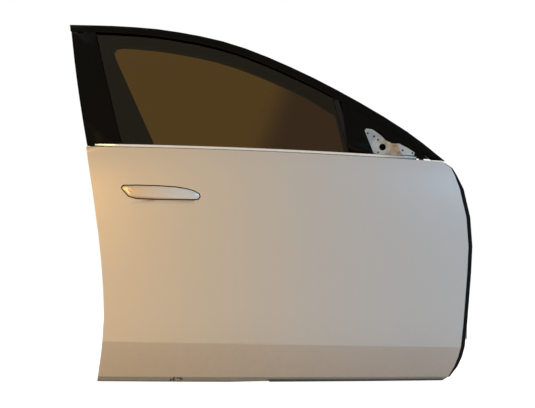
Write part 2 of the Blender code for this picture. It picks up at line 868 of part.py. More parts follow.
def aperture_path():
    """Inner edge of the frame, from the front foot round to the rear foot, one point for each outer point"""
    inner = offset_path(frame_path, aperture_band)
    roof_count = len(roof_path)
    front_bottom = to_glass(*aperture_front_bottom, -pan_depth)
    front_top = to_glass(*aperture_front_top, -pan_depth)
    rear_bottom_x = belt_rear_x + gusset_belt
    rear_bottom = to_glass(rear_bottom_x, belt_z(rear_bottom_x) + frame_over_belt, -pan_depth)
    rear_top = to_glass(rear_top_x + gusset_top, rear_top_z - aperture_band * 1.55, -pan_depth)
    front_count = 1 + sum(1 for point in inner[:roof_count] if point.x > front_top.x - 0.015)
    rear_count = sum(1 for point in inner[:roof_count] if point.x < rear_top.x + aperture_corner + 0.008)
    path = [blend(front_bottom, front_top, step / (front_count - 1)) for step in range(front_count)]
    path += inner[front_count:roof_count - rear_count]
    corner_start = Vector((rear_top.x + aperture_corner, crossing(inner[:roof_count],
                                                                  rear_top.x + aperture_corner)))
    corner = Vector((rear_top.x - 0.004, crossing(inner[:roof_count], rear_top.x)))
    corner_end = rear_top + (rear_bottom - rear_top).normalized() * aperture_corner
    corner_count = 4
    for step in range(corner_count):
        share = step / (corner_count - 1)
        path.append(blend(blend(corner_start, corner, share), blend(corner, corner_end, share), share))
    side_count = len(frame_path) - len(path)
    path += [blend(corner_end, rear_bottom, step / side_count) for step in range(1, side_count + 1)]
    return path


def make_window_frame():
    inner = aperture_path()
    outer = frame_path
    leg_drop = Vector((0.0, -0.055))
    front_leg = to_glass(foot_x - 0.075, belt_z(foot_x - 0.075) + pan_over_belt, frame_face)
    rear_leg_x = belt_rear_x + shut_face_inset + inner_edge + 0.018
    rear_leg = to_glass(rear_leg_x, belt_z(rear_leg_x) + pan_over_belt, frame_face)
    pairs = [(front_leg + leg_drop, inner[0] + leg_drop), (front_leg, inner[0] - Vector((0.0, 0.002)))]
    pairs += list(zip(outer, inner))
    pairs += [(rear_leg, inner[-1] - Vector((0.0, 0.002))), (rear_leg + leg_drop, inner[-1] + leg_drop)]
    rows = []
    wall = moulding_wall + frame_gauge + 2 * fit_gap
    for start, end in pairs:
        across = (end - start).normalized()
        near = start + across * wall
        rows.append([
            on_glass(near.x, near.y, -pan_lip), on_glass(near.x, near.y, -pan_depth),
            on_glass(end.x, end.y, -pan_depth), on_glass(end.x, end.y, -pan_lip),
        ])
    return sheet("window_frame", rows, frame_black, frame_gauge)


def make_frame_channel():
    web = moulding_wall + fit_gap + frame_gauge
    section = ((web + channel_leg, channel_half), (web, channel_half), (web, -channel_half),
               (web + channel_leg, -channel_half))
    return run_on_glass("frame_channel", frame_path, section, frame_black, frame_gauge, True)


def make_header_moulding():
    face = frame_face
    back = frame_face - moulding_wall
    section = ((0.0, face - 0.0008), (0.0012, face), (moulding_width - 0.001, face),
               (moulding_width, face - 0.001),
               (moulding_width, back), (moulding_wall, back), (moulding_wall, -moulding_wrap),
               (0.0, -moulding_wrap))
    header = run_on_glass("header_moulding", header_path, section, black_trim)
    edge = [Vector((rear_frame_x(z), z)) for z in (rear_top_z - cutter_reach, rear_top_z + cutter_reach)]
    behind = [point - Vector((cutter_reach, 0.0)) for point in reversed(edge)]
    cut(header, prism("header_end", edge + behind, -cutter_reach, 3 * cutter_reach, None, cutters))
    belt = [Vector((x, belt_z(x) + frame_over_belt))
            for x in (foot_x + cutter_reach, foot_x - 2 * cutter_reach)]
    below = [point - Vector((0.0, cutter_reach)) for point in reversed(belt)]
    cut(header, prism("header_foot", belt + below, -cutter_reach, 2 * cutter_reach, None, cutters))
    return header


def between(name, rear_side, front_side, shares, low, high, finish):
    """A thin curved plate between two sides of equal count, from a lower to a higher offset"""
    rows = []
    for start, end in zip(rear_side, front_side):
        near = [on_glass(*blend(start, end, share), low) for share in shares]
        far = [on_glass(*blend(start, end, share), high) for share in reversed(shares)]
        rows.append(near + far)
    return loft(name, rows, finish)


def make_b_pillar_applique():
    back = frame_face - moulding_wall
    low_z = belt_rear + frame_over_belt
    edge = offset_path(frame_path, moulding_width + fit_gap)[:len(roof_path)]
    heights = stretch(low_z, rear_top_z, 8)
    rear_side = [to_glass(rear_frame_x(z), z, frame_face) for z in heights]
    border_low = to_glass(border_rear_belt, belt_z(border_rear_belt) + frame_over_belt, frame_face)
    border_high = to_glass(rear_top_x + pillar_cover_top, rear_top_z, frame_face)
    rear_top = rear_side[-1]
    rear_side = [Vector((p.x, blend(rear_side[0].y, crossing(edge, rear_top.x + 0.004), spot / 8)))
                 for spot, p in enumerate(rear_side)]
    top_v = crossing(edge, border_high.x)
    front_side = [Vector((blend(border_low.x, border_high.x, spot / 8), blend(border_low.y, top_v, spot / 8)))
                  for spot in range(9)]
    return between("b_pillar_applique", rear_side, front_side, (0.0, 0.5, 1.0), back, frame_face, black_trim)


def make_front_sail_trim():
    back = frame_face - moulding_wall
    edge = offset_path(header_path, moulding_width + fit_gap)
    border_low = to_glass(border_front_belt, belt_z(border_front_belt) + frame_over_belt, frame_face)
    border_high = to_glass(*border_front_top, frame_face)
    top = Vector((border_high.x, crossing(edge, border_high.x) - 0.002))
    low = edge[3].x
    high = edge[0].x
    for step in range(20):
        middle = (low + high) / 2
        if crossing(edge, middle) > belt_v(middle) + frame_over_belt:
            low = middle
        else:
            high = middle
    foot = Vector((low - 0.002, crossing(edge, low - 0.002) - 0.001))
    rear_side = [blend(border_low, top, step / 8) for step in range(9)]
    front_side = []
    for step in range(9):
        u = blend(foot.x, top.x + 0.006, step / 8)
        front_side.append(Vector((u, crossing(edge, u) - 0.0004)))
    sail = between("front_sail_trim", rear_side, front_side, (0.0, 0.33, 0.67, 1.0), back, frame_face,
                   black_trim)
    cut(sail, mirror_shape("mirror_window", mirror_gap, 0.02, 0.0, cutters))
    return sail


# Mirror mounting plate, on three posts that reach back to the frame

mirror_middle = to_glass(*mirror_centre)


def mirror_matrix(n):
    """Flat place tangent to the glass's curve at the mirror plate, offset outboard"""
    middle = on_glass(mirror_middle.x, mirror_middle.y, n)
    turn = mirror_middle.y / glass_radius
    out = glass_n * math.cos(turn) + glass_v * math.sin(turn)
    across = glass_u
    up = out.cross(across)
    place = Matrix((across, up, out)).transposed().to_4x4()
    place.translation = middle
    return place


def mirror_local(x, z, place):
    """Flat coordinates on the mirror plate of a place in the side view"""
    view = Vector((0.0, 1.0, 0.0))
    normal = place.col[2].to_3d()
    start = Vector((x, 0.0, z))
    depth = (place.translation - start).dot(normal) / view.dot(normal)
    spot = place.inverted() @ (start + view * depth)
    return Vector((spot.x, spot.y))


def mirror_shape(name, grow, gauge, lift, group=None):
    """The mirror plate's outline as a solid, grown all round by a gap"""
    place = mirror_matrix(mirror_face + lift)
    points = [mirror_local(x, z, place) for x, z in mirror_outline]
    return flat_shape(name, [grown(points, grow)], gauge, place, mirror_paint, None, group)


def make_mirror_plate():
    place = mirror_matrix(mirror_face + mirror_gauge / 2)
    outlines = [[mirror_local(x, z, place) for x, z in mirror_outline]]
    for x, z, radius in mirror_holes:
        centre = mirror_local(x, z, place)
        sides = 16 if radius > 0.005 else 8
        outlines.append([centre + Vector((radius * math.cos(2 * math.pi * k / sides),
                                          radius * math.sin(2 * math.pi * k / sides))) for k in range(sides)])
    plate = flat_shape("mirror_mount_plate", outlines, mirror_gauge, place, mirror_paint)
    low, high = [mirror_local(x, z, place) for x, z in mirror_bead]
    sunk = mirror_gauge / 2 + bead_rise - bead_radius
    weld(plate, bar("mirror_bead", place @ Vector((*low, sunk)), place @ Vector((*high, sunk)), bead_radius,
                    None, 16, None, cutters))
    for number, (x, z) in enumerate(mirror_posts, 1):
        start = to_glass(x, z)
        back = on_glass(start.x, start.y, -pan_depth + 6 * fit_gap)
        front = on_glass(start.x, start.y, mirror_face + mirror_gauge / 2)
        weld(plate, bar("mirror_post_" + str(number), back, front, mirror_post_radius, None, 10, None,
                        cutters))
    return plate


# Drop glass and what it runs in

def make_glass():
    middle = [point.x for point in glass_top_path if glass_rear_u + 0.01 < point.x < glass_front_u - 0.01]
    rows = []
    for share in stretch(1.0, 0.0, 8):
        row = []
        for u in [glass_rear_u] + list(reversed(middle)) + [glass_front_u]:
            low = belt_v(u) - glass_below_belt
            row.append(on_glass(u, blend(low, crossing(glass_top_path, u), share), glass_gauge / 2))
        rows.append(row)
    return sheet("door_glass", rows, tinted_glass, glass_gauge, True)


def run_path():
    """Glass edge from low on the front guide, over the top and down the rear guide"""
    path = [Vector((glass_front_u, v)) for v in reversed(front_stations)]
    path += [point for point in glass_top_path if glass_rear_u + 0.01 < point.x < glass_front_u - 0.01]
    path += [Vector((glass_rear_u, v)) for v in rear_stations]
    return path


run_low_front = belt_v(glass_front_u) - run_depth_front
run_low_rear = belt_v(glass_rear_u) - run_depth_rear
front_stations = stretch(crossing(glass_top_path, glass_front_u), run_low_front, 9)
rear_stations = stretch(crossing(glass_top_path, glass_rear_u), run_low_rear, 14)


def make_run_seal():
    low = run_floor + run_base
    lip = glass_gauge / 2 + lip_gap
    back = channel_half - fit_gap - 0.0001
    section = ((run_leg, lip), (-run_floor, lip), (-run_floor, -lip), (run_leg, -lip),
               (run_leg, -back), (-low, -back), (-low, back), (run_leg, back))
    return run_on_glass("glass_run_seal", run_path(), section, rubber)


def make_guide(name, u, side, stations):
    """A run guide: a channel up the glass's edge, with a bracket to the inner panel near its foot"""
    top_edge = offset_path(frame_path, moulding_wall + fit_gap + frame_gauge + channel_leg + slide_gap)
    top = min(crossing(top_edge[:len(roof_path)], u + side * (run_floor + run_base + fit_gap + frame_gauge)),
              crossing(top_edge[:len(roof_path)], u - side * run_leg)) - 0.002
    web = run_floor + run_base + fit_gap
    low_v = stations[-1] - 0.004
    path = [Vector((u, v)) for v in [top] + [v for v in stations[:-1] if v < top - 0.010] + [low_v]]
    section = ((run_leg, channel_half), (-web, channel_half), (-web, -channel_half), (run_leg, -channel_half))
    if side > 0:
        path = list(reversed(path))
    guide = run_on_glass(name, path, section, frame_black, frame_gauge, True)
    foot_v = low_v + 0.03
    weld(guide, panel_bracket(name + "_bracket", u + side * 0.004, foot_v, channel_half + frame_gauge, 0.016))
    return guide


def panel_bracket(name, u, v, start_n, half_width):
    """A block from a piece's inboard face to the inner panel, as a tool to weld on"""
    near = []
    far = []
    for du, dv in ((-half_width, -0.010), (half_width, -0.010), (half_width, 0.010), (-half_width, 0.010)):
        point = on_glass(u + du, v + dv, -start_n + 0.0004)
        near.append(point)
        end = on_glass(u + du, v + dv, -start_n)
        far.append(Vector((end.x, inner_y(end.x, end.z) - fit_gap, end.z)))
    return loft(name, [near, far], None, False, Vector((0.0, 0.0, 0.0)), cutters)


# Belt mouldings, seals and beams

def along_belt(name, places, section, finish, gauge=None, flip=False):
    """A section of (Y, Z) places, given by a function of X, swept along the belt"""
    rows = [[Vector((x, y, z)) for y, z in section(x)] for x in places]
    if gauge is None:
        return loft(name, rows, finish)
    return sheet(name, rows, finish, gauge, flip)


def make_belt_moulding():
    def section(x):
        y = skin_y(x, belt_z(x))
        z = belt_z(x)
        leg = ledge_width + fit_gap
        rise = 0.0006
        return ((y + 0.0010, z + rise), (y + 0.0018, z + lip_height - 0.001), (y + 0.0032, z + lip_height),
                (y + leg + leg_gauge, z + lip_height), (y + leg + leg_gauge, z - 0.010), (y + leg, z - 0.010),
                (y + leg, z + rise))
    return along_belt("belt_moulding", stretch(belt_rear_x + strip_rear_inset, strip_front_x, 14), section,
                      bright_strip)


def make_outer_belt_seal():
    def section(x):
        z = belt_z(x)
        base = skin_y(x, z) + ledge_width + fit_gap + leg_gauge + fit_gap
        lip = glass_gauge / 2 + lip_gap
        return ((base, z + 0.0075), (base + 0.002, z + 0.0095), (glass_y(x, z + 0.0105, lip), z + 0.0105),
                (glass_y(x, z + 0.0085, lip), z + 0.0085), (base + 0.003, z + 0.005),
                (base + 0.003, z - 0.009),
                (base, z - 0.009))
    places = stretch(border_rear_belt + seal_end_gap, border_front_belt - seal_end_gap, 12)
    return along_belt("outer_belt_seal", places, section, rubber)


def belt_path(start_u, end_u, steps, drop=0.0):
    """The belt line on the glass, from the front to the rear, moved down by a drop"""
    return [Vector((u, belt_v(u) - drop)) for u in stretch(start_u, end_u, steps)]


def make_inner_belt_beam():
    path = belt_path(glass_front_u - 0.045, glass_rear_u + 0.150, 10)
    back = -pan_depth - frame_gauge + 0.0002
    section = ((0.006, back), (0.006, -0.0145), (0.034, -0.0145), (0.034, back))
    return run_on_glass("inner_belt_beam", path, section, zinc, beam_gauge, True)


gusset_u = to_glass(belt_rear_x + gusset_belt, belt_z(belt_rear_x + gusset_belt)).x


def make_inner_belt_seal():
    path = belt_path(to_glass(*aperture_front_bottom).x - 0.008, gusset_u + 0.012, 10)
    lip = -glass_gauge / 2 - lip_gap
    back = -0.0145 + fit_gap
    section = ((-0.002, back), (-0.006, lip), (-0.003, lip), (0.006, lip - 0.006), (0.024, lip - 0.006),
               (0.024, back))
    return run_on_glass("inner_belt_seal", path, section, rubber)


def make_outer_belt_beam():
    def section(x):
        top = belt_z(x) - ledge_flange - 0.008
        gap = skin_gauge + fit_gap
        return ((skin_y(x, top) + gap, top), (skin_y(x, top) + gap, top - 0.008),
                (skin_y(x, top) + gap + 0.010, top - 0.012), (skin_y(x, top) + gap + 0.010, top - 0.034),
                (skin_y(x, top - 0.038) + gap, top - 0.038), (skin_y(x, top - 0.048) + gap, top - 0.048))
    rear = belt_rear_x + shut_face_inset + 0.03
    front = belt_front_x - front_wall_inset - 0.02
    return along_belt("outer_belt_beam", stretch(rear, front, 12), section, zinc, beam_gauge)


# Intrusion beam with its end brackets

def make_intrusion_beam():
    start = Vector((beam_front[0], beam_y, beam_front[1]))
    end = Vector((beam_rear[0], beam_y, beam_rear[1]))
    bar("intrusion_beam", start, end, beam_radius, dark_steel, 16)
    deep = beam_y + beam_radius + fit_gap
    front_wall = hinge_face_x - fit_gap
    rear_wall = shut_face_x(deep + 0.022, end.z) + 2 * fit_gap
    rear_turn = shut_face_x(deep + 0.050, end.z) + 2 * fit_gap
    front_line = ((start.x - 0.034, deep), (start.x + 0.004, deep), (front_wall, deep + 0.007),
                  (front_wall, deep + 0.034))
    rear_line = ((end.x + 0.034, deep), (end.x - 0.004, deep), (rear_wall, deep + 0.022),
                 (rear_turn, deep + 0.050))
    for name, line, z, flip in (("beam_bracket_front", front_line, start.z, False),
                                ("beam_bracket_rear", rear_line, end.z, True)):
        rows = [[Vector((x, y, z + side)) for x, y in line] for side in (-0.030, 0.030)]
        sheet(name, rows, dark_steel, beam_gauge, flip)


# Window regulator

rail_rear_u = blend(glass_rear_u, glass_front_u, rail_rear_share)
rail_front_u = blend(glass_rear_u, glass_front_u, rail_front_share)
drop_length = glass_radius * glass_drop_angle


def glass_low(u):
    """Lower edge of the glass at rest"""
    return belt_v(u) - glass_below_belt


def rail_ends(u):
    """Top and foot of a rail: it covers the carrier's shoe over the whole drop"""
    top = glass_low(u) - carrier_base - 0.004
    foot = glass_low(u) - carrier_base - shoe_length - drop_length - rail_spare
    return top, foot


def make_rail(name, u):
    top, foot = rail_ends(u)
    path = [Vector((u, v)) for v in stretch(foot, top, 12)]
    face = -rail_face
    section = ((rail_half_width, face - rail_depth), (rail_half_width, face), (-rail_half_width, face),
               (-rail_half_width, face - rail_depth))
    rail = run_on_glass(name, path, section, zinc, rail_gauge)
    start = rail_face + rail_depth
    half = rail_half_width - 2 * fit_gap
    weld(rail, panel_bracket(name + "_top", u, top - 0.042, start - 0.001, half))
    weld(rail, panel_bracket(name + "_foot", u, foot + 0.014, start - 0.001, half))
    return rail


def make_carrier(name, u):
    low = [Vector((u + carrier_half_width, glass_low(u + carrier_half_width))),
           Vector((u - carrier_half_width, glass_low(u - carrier_half_width)))]
    inner = glass_gauge / 2 + fit_gap
    outer = inner + carrier_wall
    section = ((-carrier_grip, inner), (fit_gap, inner), (fit_gap, -inner), (-carrier_grip, -inner),
               (-carrier_grip, -outer), (carrier_base, -outer), (carrier_base, outer), (-carrier_grip, outer))
    carrier = run_on_glass(name, low, section, white_plastic)
    top = glass_low(u) - carrier_base + 0.002
    foot = glass_low(u) - carrier_base - shoe_length
    near = rail_face - slide_gap
    shoe = glass_block(name + "_shoe", u - rail_half_width - 0.006, u + rail_half_width + 0.006,
                       foot, top + 0.004, -near, -inner)
    weld(carrier, shoe)
    for side in (-1, 1):
        low_u = u + side * (rail_half_width + slide_gap)
        high_u = u + side * (rail_half_width + 0.006)
        lip = glass_block(name + "_lip_" + str(side + 2), min(low_u, high_u), max(low_u, high_u),
                          foot, top - 0.006, -near - 0.007, -near + 0.001)
        weld(carrier, lip)
    return carrier


def glass_block(name, low_u, high_u, low_v, high_v, low_n, high_n, steps=2):
    """A curved block in the glass's space, as a tool"""
    rings = []
    for v in stretch(low_v, high_v, steps):
        rings.append([on_glass(low_u, v, low_n), on_glass(high_u, v, low_n), on_glass(high_u, v, high_n),
                      on_glass(low_u, v, high_n)])
    return loft(name, rings, None, False, Vector((0.0, 0.0, 0.0)), cutters)


def make_drive():
    """Motor and drum on the inner panel, pulleys at the rail ends and the cable runs between them"""
    wall = inner_face - fit_gap
    drum_far = wall - 0.030
    hub = Vector((drum_x, drum_far - drum_width / 2, drum_z))
    motor = add_object("regulator_motor", block_mesh(
        "regulator_motor", (drum_x - 0.034, drum_far + slide_gap, drum_z - 0.034),
        (drum_x + 0.034, wall, drum_z + 0.034)), plastic, Vector((drum_x, wall, drum_z)))
    soften = motor.modifiers.new("edges", "BEVEL")
    soften.width = 0.006
    soften.segments = 1
    body_y = wall - 0.017
    weld(motor, bar("motor_body", Vector((drum_x + 0.030, body_y, drum_z + 0.010)),
                    Vector((drum_x + 0.115, body_y, drum_z + 0.010)), 0.0165, None, 16, None, cutters))
    shaft = 0.004
    weld(motor, bar("motor_shaft", Vector((drum_x, drum_far + 0.003, drum_z)),
                    hub - Vector((0.0, drum_width / 2 + 0.002, 0.0)), shaft, None, 12, None, cutters))

    drum = turned("regulator_drum", hub, (
        (shaft + fit_gap, drum_width / 2), (drum_radius + 0.002, drum_width / 2),
        (drum_radius, drum_width / 2 - 0.002), (drum_radius, -drum_width / 2 + 0.002),
        (drum_radius + 0.002, -drum_width / 2), (shaft + fit_gap, -drum_width / 2)), white_plastic, 24)
    drum.rotation_euler = (math.radians(90), 0.0, 0.0)

    ends = {}
    for side, u in (("rear", rail_rear_u), ("front", rail_front_u)):
        top, foot = rail_ends(u)
        for level, v, turn in (("top", top, 1), ("foot", foot, -1)):
            inward = 1 if side == "rear" else -1
            ends[side, level] = make_pulley(side + "_" + level + "_pulley", u + inward * pulley_radius,
                                            v + turn * pulley_offset, u, v - turn * 0.030)
    run = -rail_face - rail_depth / 2 - rail_gauge / 2
    for name, side, inward in (("regulator_cable_rear", "rear", 1), ("regulator_cable_front", "front", -1)):
        u = rail_rear_u if side == "rear" else rail_front_u
        top, foot = rail_ends(u)
        middle_u, middle_v = ends[side, "foot"]
        reach = pulley_radius + cable_radius + 2 * fit_gap
        route = [on_glass(middle_u - inward * reach, v, run)
                 for v in stretch(top - 0.004, foot - pulley_offset, 9)]
        for step in range(1, 6):
            angle = math.radians(180 + 100 * step / 5) if inward > 0 else math.radians(-100 * step / 5)
            route.append(on_glass(middle_u + reach * math.cos(angle), middle_v + reach * math.sin(angle),
                                  run))
        last = route[-1]
        side_x = -1 if inward > 0 else 1
        touch = Vector((drum_x + side_x * 0.010, hub.y, drum_z - drum_radius - cable_radius - 0.001))
        bend = blend(last, touch, 0.5) + Vector((0.0, 0.0, -0.006))
        route += [bend, touch]
        tube(name, route, cable_radius, dark_steel, False, 1)
    rear_u, rear_v = ends["rear", "top"]
    front_u, front_v = ends["front", "top"]
    reach = pulley_radius + cable_radius + 3 * fit_gap
    start = on_glass(rear_u, rear_v + reach, run)
    end = on_glass(front_u, front_v + reach, run)
    tube("regulator_cable_cross", [blend(start, end, share) for share in stretch(0.0, 1.0, 4)], cable_radius,
         dark_steel, False, 1)


def turned(name, centre, profile, finish, sides=24):
    """A turned piece: a closed profile of (radius, height) places swept round Z"""
    mesh = bpy.data.meshes.new(name)
    work = bmesh.new()
    corners = [work.verts.new((radius, 0.0, height)) for radius, height in profile]
    for spot in range(len(corners)):
        work.edges.new((corners[spot], corners[(spot + 1) % len(corners)]))
    work.to_mesh(mesh)
    work.free()
    thing = add_object(name, mesh, finish)
    thing.location = centre
    screw = thing.modifiers.new("turn", "SCREW")
    screw.steps = sides
    screw.render_steps = sides
    screw.use_merge_vertices = True
    screw.merge_threshold = 0.00001
    screw.use_smooth_shade = False
    return thing


def make_pulley(name, u, v, rail_u, rail_v):
    """A grooved pulley on a pin that stands on an arm of the rail"""
    middle_n = -rail_face - rail_depth / 2 - rail_gauge / 2
    turn = v / glass_radius
    out = glass_n * math.cos(turn) + glass_v * math.sin(turn)
    centre = on_glass(u, v, middle_n)
    half = pulley_width / 2
    pulley = turned(name, centre, (
        (0.0024, half), (pulley_radius + 0.002, half), (pulley_radius, 0.0006), (pulley_radius, -0.0006),
        (pulley_radius + 0.002, -half), (0.0024, -half)), white_plastic, 14)
    pulley.rotation_mode = "QUATERNION"
    pulley.rotation_quaternion = out.to_track_quat("Z", "Y")
    rail = bpy.data.objects["regulator_rail_" + name.split("_")[0]]
    back = middle_n - half - fit_gap
    low = on_glass(u, v, back - 0.0025)
    wide = rail_half_width - fit_gap
    arm = loft(name + "_arm", [
        [on_glass(rail_u - wide, rail_v, back - 0.0030), on_glass(rail_u + wide, rail_v, back - 0.0030),
         on_glass(rail_u + wide, rail_v, back), on_glass(rail_u - wide, rail_v, back)],
        [on_glass(u - 0.007, v, back - 0.0030), on_glass(u + 0.007, v, back - 0.0030),
         on_glass(u + 0.007, v, back), on_glass(u - 0.007, v, back)],
    ], None, False, Vector((0.0, 0.0, 0.0)), cutters)
    pin = bar(name + "_pin", low, on_glass(u, v, middle_n + half), 0.0020, None, 10, None, cutters)
    weld(rail, arm)
    weld(rail, pin)
    return u, v


# Outer handle in its pocket

handle_length = max(x for x, z in handle_outline)
handle_middle = Vector((handle_rear_x + handle_length / 2, handle_low_z + 0.022))
handle_skin = skin_y(handle_middle.x, handle_middle.y)
handle_pivot_x = handle_rear_x + handle_length - handle_pivot_back
pivot_skin = skin_y(handle_pivot_x, handle_middle.y)
handle_pivot = Vector((handle_pivot_x, pivot_skin + handle_pivot_y, handle_middle.y - 0.010))


def handle_loop(grow, depth, narrow=0.0):
    """The handle's outline at a depth behind the skin, grown outwards or narrowed towards its long axis"""
    ring = []
    for point in handle_ring(grow):
        x = blend(point.x, handle_middle.x, narrow * 0.35)
        z = blend(point.y, handle_middle.y, narrow)
        ring.append(Vector((x, skin_y(point.x, point.y) + depth, z)))
    return ring


def make_handle():
    rings = [
        handle_loop(-0.0012, handle_depth), handle_loop(0.0, handle_depth - 0.0012), handle_loop(0.0, 0.0),
        handle_loop(-0.0010, -0.0012), handle_loop(-0.0024, -handle_bulge * 0.75, 0.10),
        handle_loop(-0.0040, -handle_bulge, 0.30),
    ]
    axis = bpy.data.objects.new("handle_axis", None)
    axis.location = handle_pivot
    axis.parent = datum
    door.objects.link(axis)
    handle = loft("outer_handle", rings, paint, False, handle_pivot)
    handle.parent = axis
    handle.location = (0.0, 0.0, 0.0)
    low = handle_pivot - Vector((0.0, 0.0, 0.008))
    high = handle_pivot + Vector((0.0, 0.0, 0.008))
    rib = 0.0035
    weld(handle, tool_block("handle_rib", (handle_pivot.x - rib, pivot_skin + handle_depth - 0.002, low.z),
                            (handle_pivot.x + rib, handle_pivot.y, high.z)))
    weld(handle, bar("handle_barrel", low, high, handle_barrel, None, 14, None, cutters))
    cut(handle, bar("handle_bore", low - Vector((0.0, 0.0, 0.004)), high + Vector((0.0, 0.0, 0.004)),
                    handle_pin_radius + fit_gap, None, 12, None, cutters))

    seat = skin_gauge + 2 * fit_gap
    floor = [Vector((p.x, handle_skin + pocket_depth, p.z)) for p in handle_loop(pocket_side - 0.0015, 0.0)]
    middle = [blend(p, Vector((handle_middle.x, handle_skin + pocket_depth, handle_middle.y)), 0.5)
              for p in floor]
    outline = [handle_loop(pocket_side + pocket_flange, seat), handle_loop(pocket_side, seat), floor]
    base = tub("handle_base", outline, middle, plastic, pocket_gauge)
    pin_low = handle_pivot - Vector((0.0, 0.0, 0.0120))
    pin_high = handle_pivot + Vector((0.0, 0.0, 0.0120))
    for name, start, heading in (("handle_lug_low", pin_low, 1), ("handle_lug_high", pin_high, -1)):
        low_z = start.z if heading > 0 else start.z - 0.003
        lug = add_object(name, block_mesh(name, (handle_pivot.x - 0.005, handle_pivot.y - 0.004, low_z),
                                          (handle_pivot.x + 0.005, handle_skin + pocket_depth + 0.0004,
                                           low_z + 0.003)),
                         None, Vector((0.0, 0.0, 0.0)), cutters)
        weld(base, lug)
    bore_low = pin_low - Vector((0.0, 0.0, 0.002))
    bore_high = pin_high + Vector((0.0, 0.0, 0.002))
    cut(base, bar("handle_lug_bore", bore_low, bore_high, handle_pin_radius + fit_gap, None, 12, None,
                  cutters))
    bar("handle_pin", pin_low, pin_high, handle_pin_radius, dark_steel, 12)


def tub(name, rings, last, finish, gauge):
    """An open tub through rings of points, with a floor, thickened away from its inside"""
    size = len(rings[0])
    points = [point for ring in rings for point in ring] + last
    count = len(rings)
    faces = []
    for ring in range(count):
        for spot in range(size):
            beside = (spot + 1) % size
            faces.append(((ring + 1) * size + spot, (ring + 1) * size + beside, ring * size + beside,
                          ring * size + spot))
    faces.append(tuple(count * size + spot for spot in reversed(range(size))))
    thing = add_object(name, mesh_from(name, points, faces, False), finish)
    thicken(thing, gauge)
    return thing


# Latch behind the rear shut face

def shut_place():
    """Place of the latch: Z along the shut face's outward normal, X outboard, Y up"""
    low_z, high_z = [blend(crease_rear, belt_rear, share) for share in latch_rows]
    low = Vector((shut_face_x(latch_y, low_z), latch_y, low_z))
    high = Vector((shut_face_x(latch_y, high_z), latch_y, high_z))
    beside = Vector((shut_face_x(latch_y + 0.01, low_z), latch_y + 0.01, low_z))
    up = (high - low).normalized()
    out = up.cross(beside - low).normalized()
    if out.x > 0:
        out = -out
    place = Matrix((up.cross(out), up, out)).transposed().to_4x4()
    place.translation = (low + high) / 2
    return place


latch_frame = shut_place()


def latch_point(x, y, z):
    """A point given outboard, up and outwards from the shut face"""
    return latch_frame @ Vector((x, y, z))


def latch_block(name, low, high, group=None, finish=None):
    """A box in the latch's own directions"""
    mesh = block_mesh(name, low, high)
    mesh.transform(latch_frame)
    return add_object(name, mesh, finish, Vector((0.0, 0.0, 0.0)), group)


fork_centre = (0.003, -0.014)
pawl_centre = (0.010, 0.028)
slot_high = 0.004


def latch_slot_cutter():
    """The striker's way in through the shut face"""
    return latch_block("latch_slot", (-0.060, slot_high - slot_width, -0.006), (0.012, slot_high, 0.010),
                       cutters)


def make_latch():
    depth, width, height = latch_size
    front = -fit_gap
    plate_back = front - latch_plate
    pocket = fork_gauge + 2 * fit_gap + 0.0004
    case = latch_block("latch_case", (-width / 2 + 0.004, -height / 2, -depth),
                       (width / 2 + 0.004, height / 2, front), None, plastic)
    cut(case, latch_block("latch_pocket", (-width / 2 - 0.010, -height / 2 + 0.005, plate_back - pocket),
                          (width / 2 - 0.001, height / 2 - 0.005, plate_back), cutters))
    cut(case, latch_block("latch_mouth", (-0.060, slot_high - slot_width, plate_back - pocket - 0.006),
                          (0.010, slot_high, 0.010), cutters))
    middle_z = plate_back - pocket / 2
    for name, centre in (("fork_post", fork_centre), ("pawl_post", pawl_centre)):
        weld(case, bar(name, latch_point(*centre, plate_back + 0.001),
                       latch_point(*centre, plate_back - pocket - 0.001), fork_pin_radius, None, 12, None,
                       cutters))
    place = latch_frame @ Matrix.Translation((*fork_centre, middle_z))
    outline = []
    for angle in range(-150, 131, 20):
        outline.append((fork_radius * math.cos(math.radians(angle)),
                        fork_radius * math.sin(math.radians(angle))))
    notch_low = slot_high - slot_width - fork_centre[1] + 0.001
    notch_high = slot_high - fork_centre[1] - 0.001
    outline = [(x, y) for x, y in outline if not (x > 0 and notch_low - 0.001 < y < notch_high + 0.001)]
    split = next(spot for spot, (x, y) in enumerate(outline) if y > notch_high and x > 0)
    edge_low = math.sqrt(fork_radius ** 2 - notch_low ** 2)
    edge_high = math.sqrt(fork_radius ** 2 - notch_high ** 2)
    outline[split:split] = [(edge_low, notch_low), (0.0065, notch_low),
                            (0.0030, (notch_low + notch_high) / 2),
                            (0.0065, notch_high), (edge_high, notch_high)]
    hole = round_outline((0.0, 0.0), fork_pin_radius + fit_gap, 12)
    flat_shape("latch_fork", [[(-x, y) for x, y in outline], hole], fork_gauge, place, dark_steel)
    place = latch_frame @ Matrix.Translation((*pawl_centre, middle_z))
    arm = [(-0.007, -0.006), (0.000, -0.0085), (0.0105, -0.0135), (0.0135, -0.0110), (0.0080, 0.0),
           (0.006, 0.006),
           (-0.002, 0.0085), (-0.008, 0.004)]
    flat_shape("latch_pawl", [[(-x, y) for x, y in arm], hole], fork_gauge, place, dark_steel)
    for number, (x, y) in enumerate(((0.020, 0.036), (-0.014, 0.036), (0.020, -0.036)), 1):
        hexagon_head("latch_screw_" + str(number), latch_point(x, y, panel_gauge + fit_gap),
                     latch_frame.col[2].to_3d(), 0.0055, 0.0030)


def round_outline(centre, radius, sides):
    """Points round a circle"""
    return [(centre[0] + radius * math.cos(2 * math.pi * k / sides),
             centre[1] + radius * math.sin(2 * math.pi * k / sides)) for k in range(sides)]


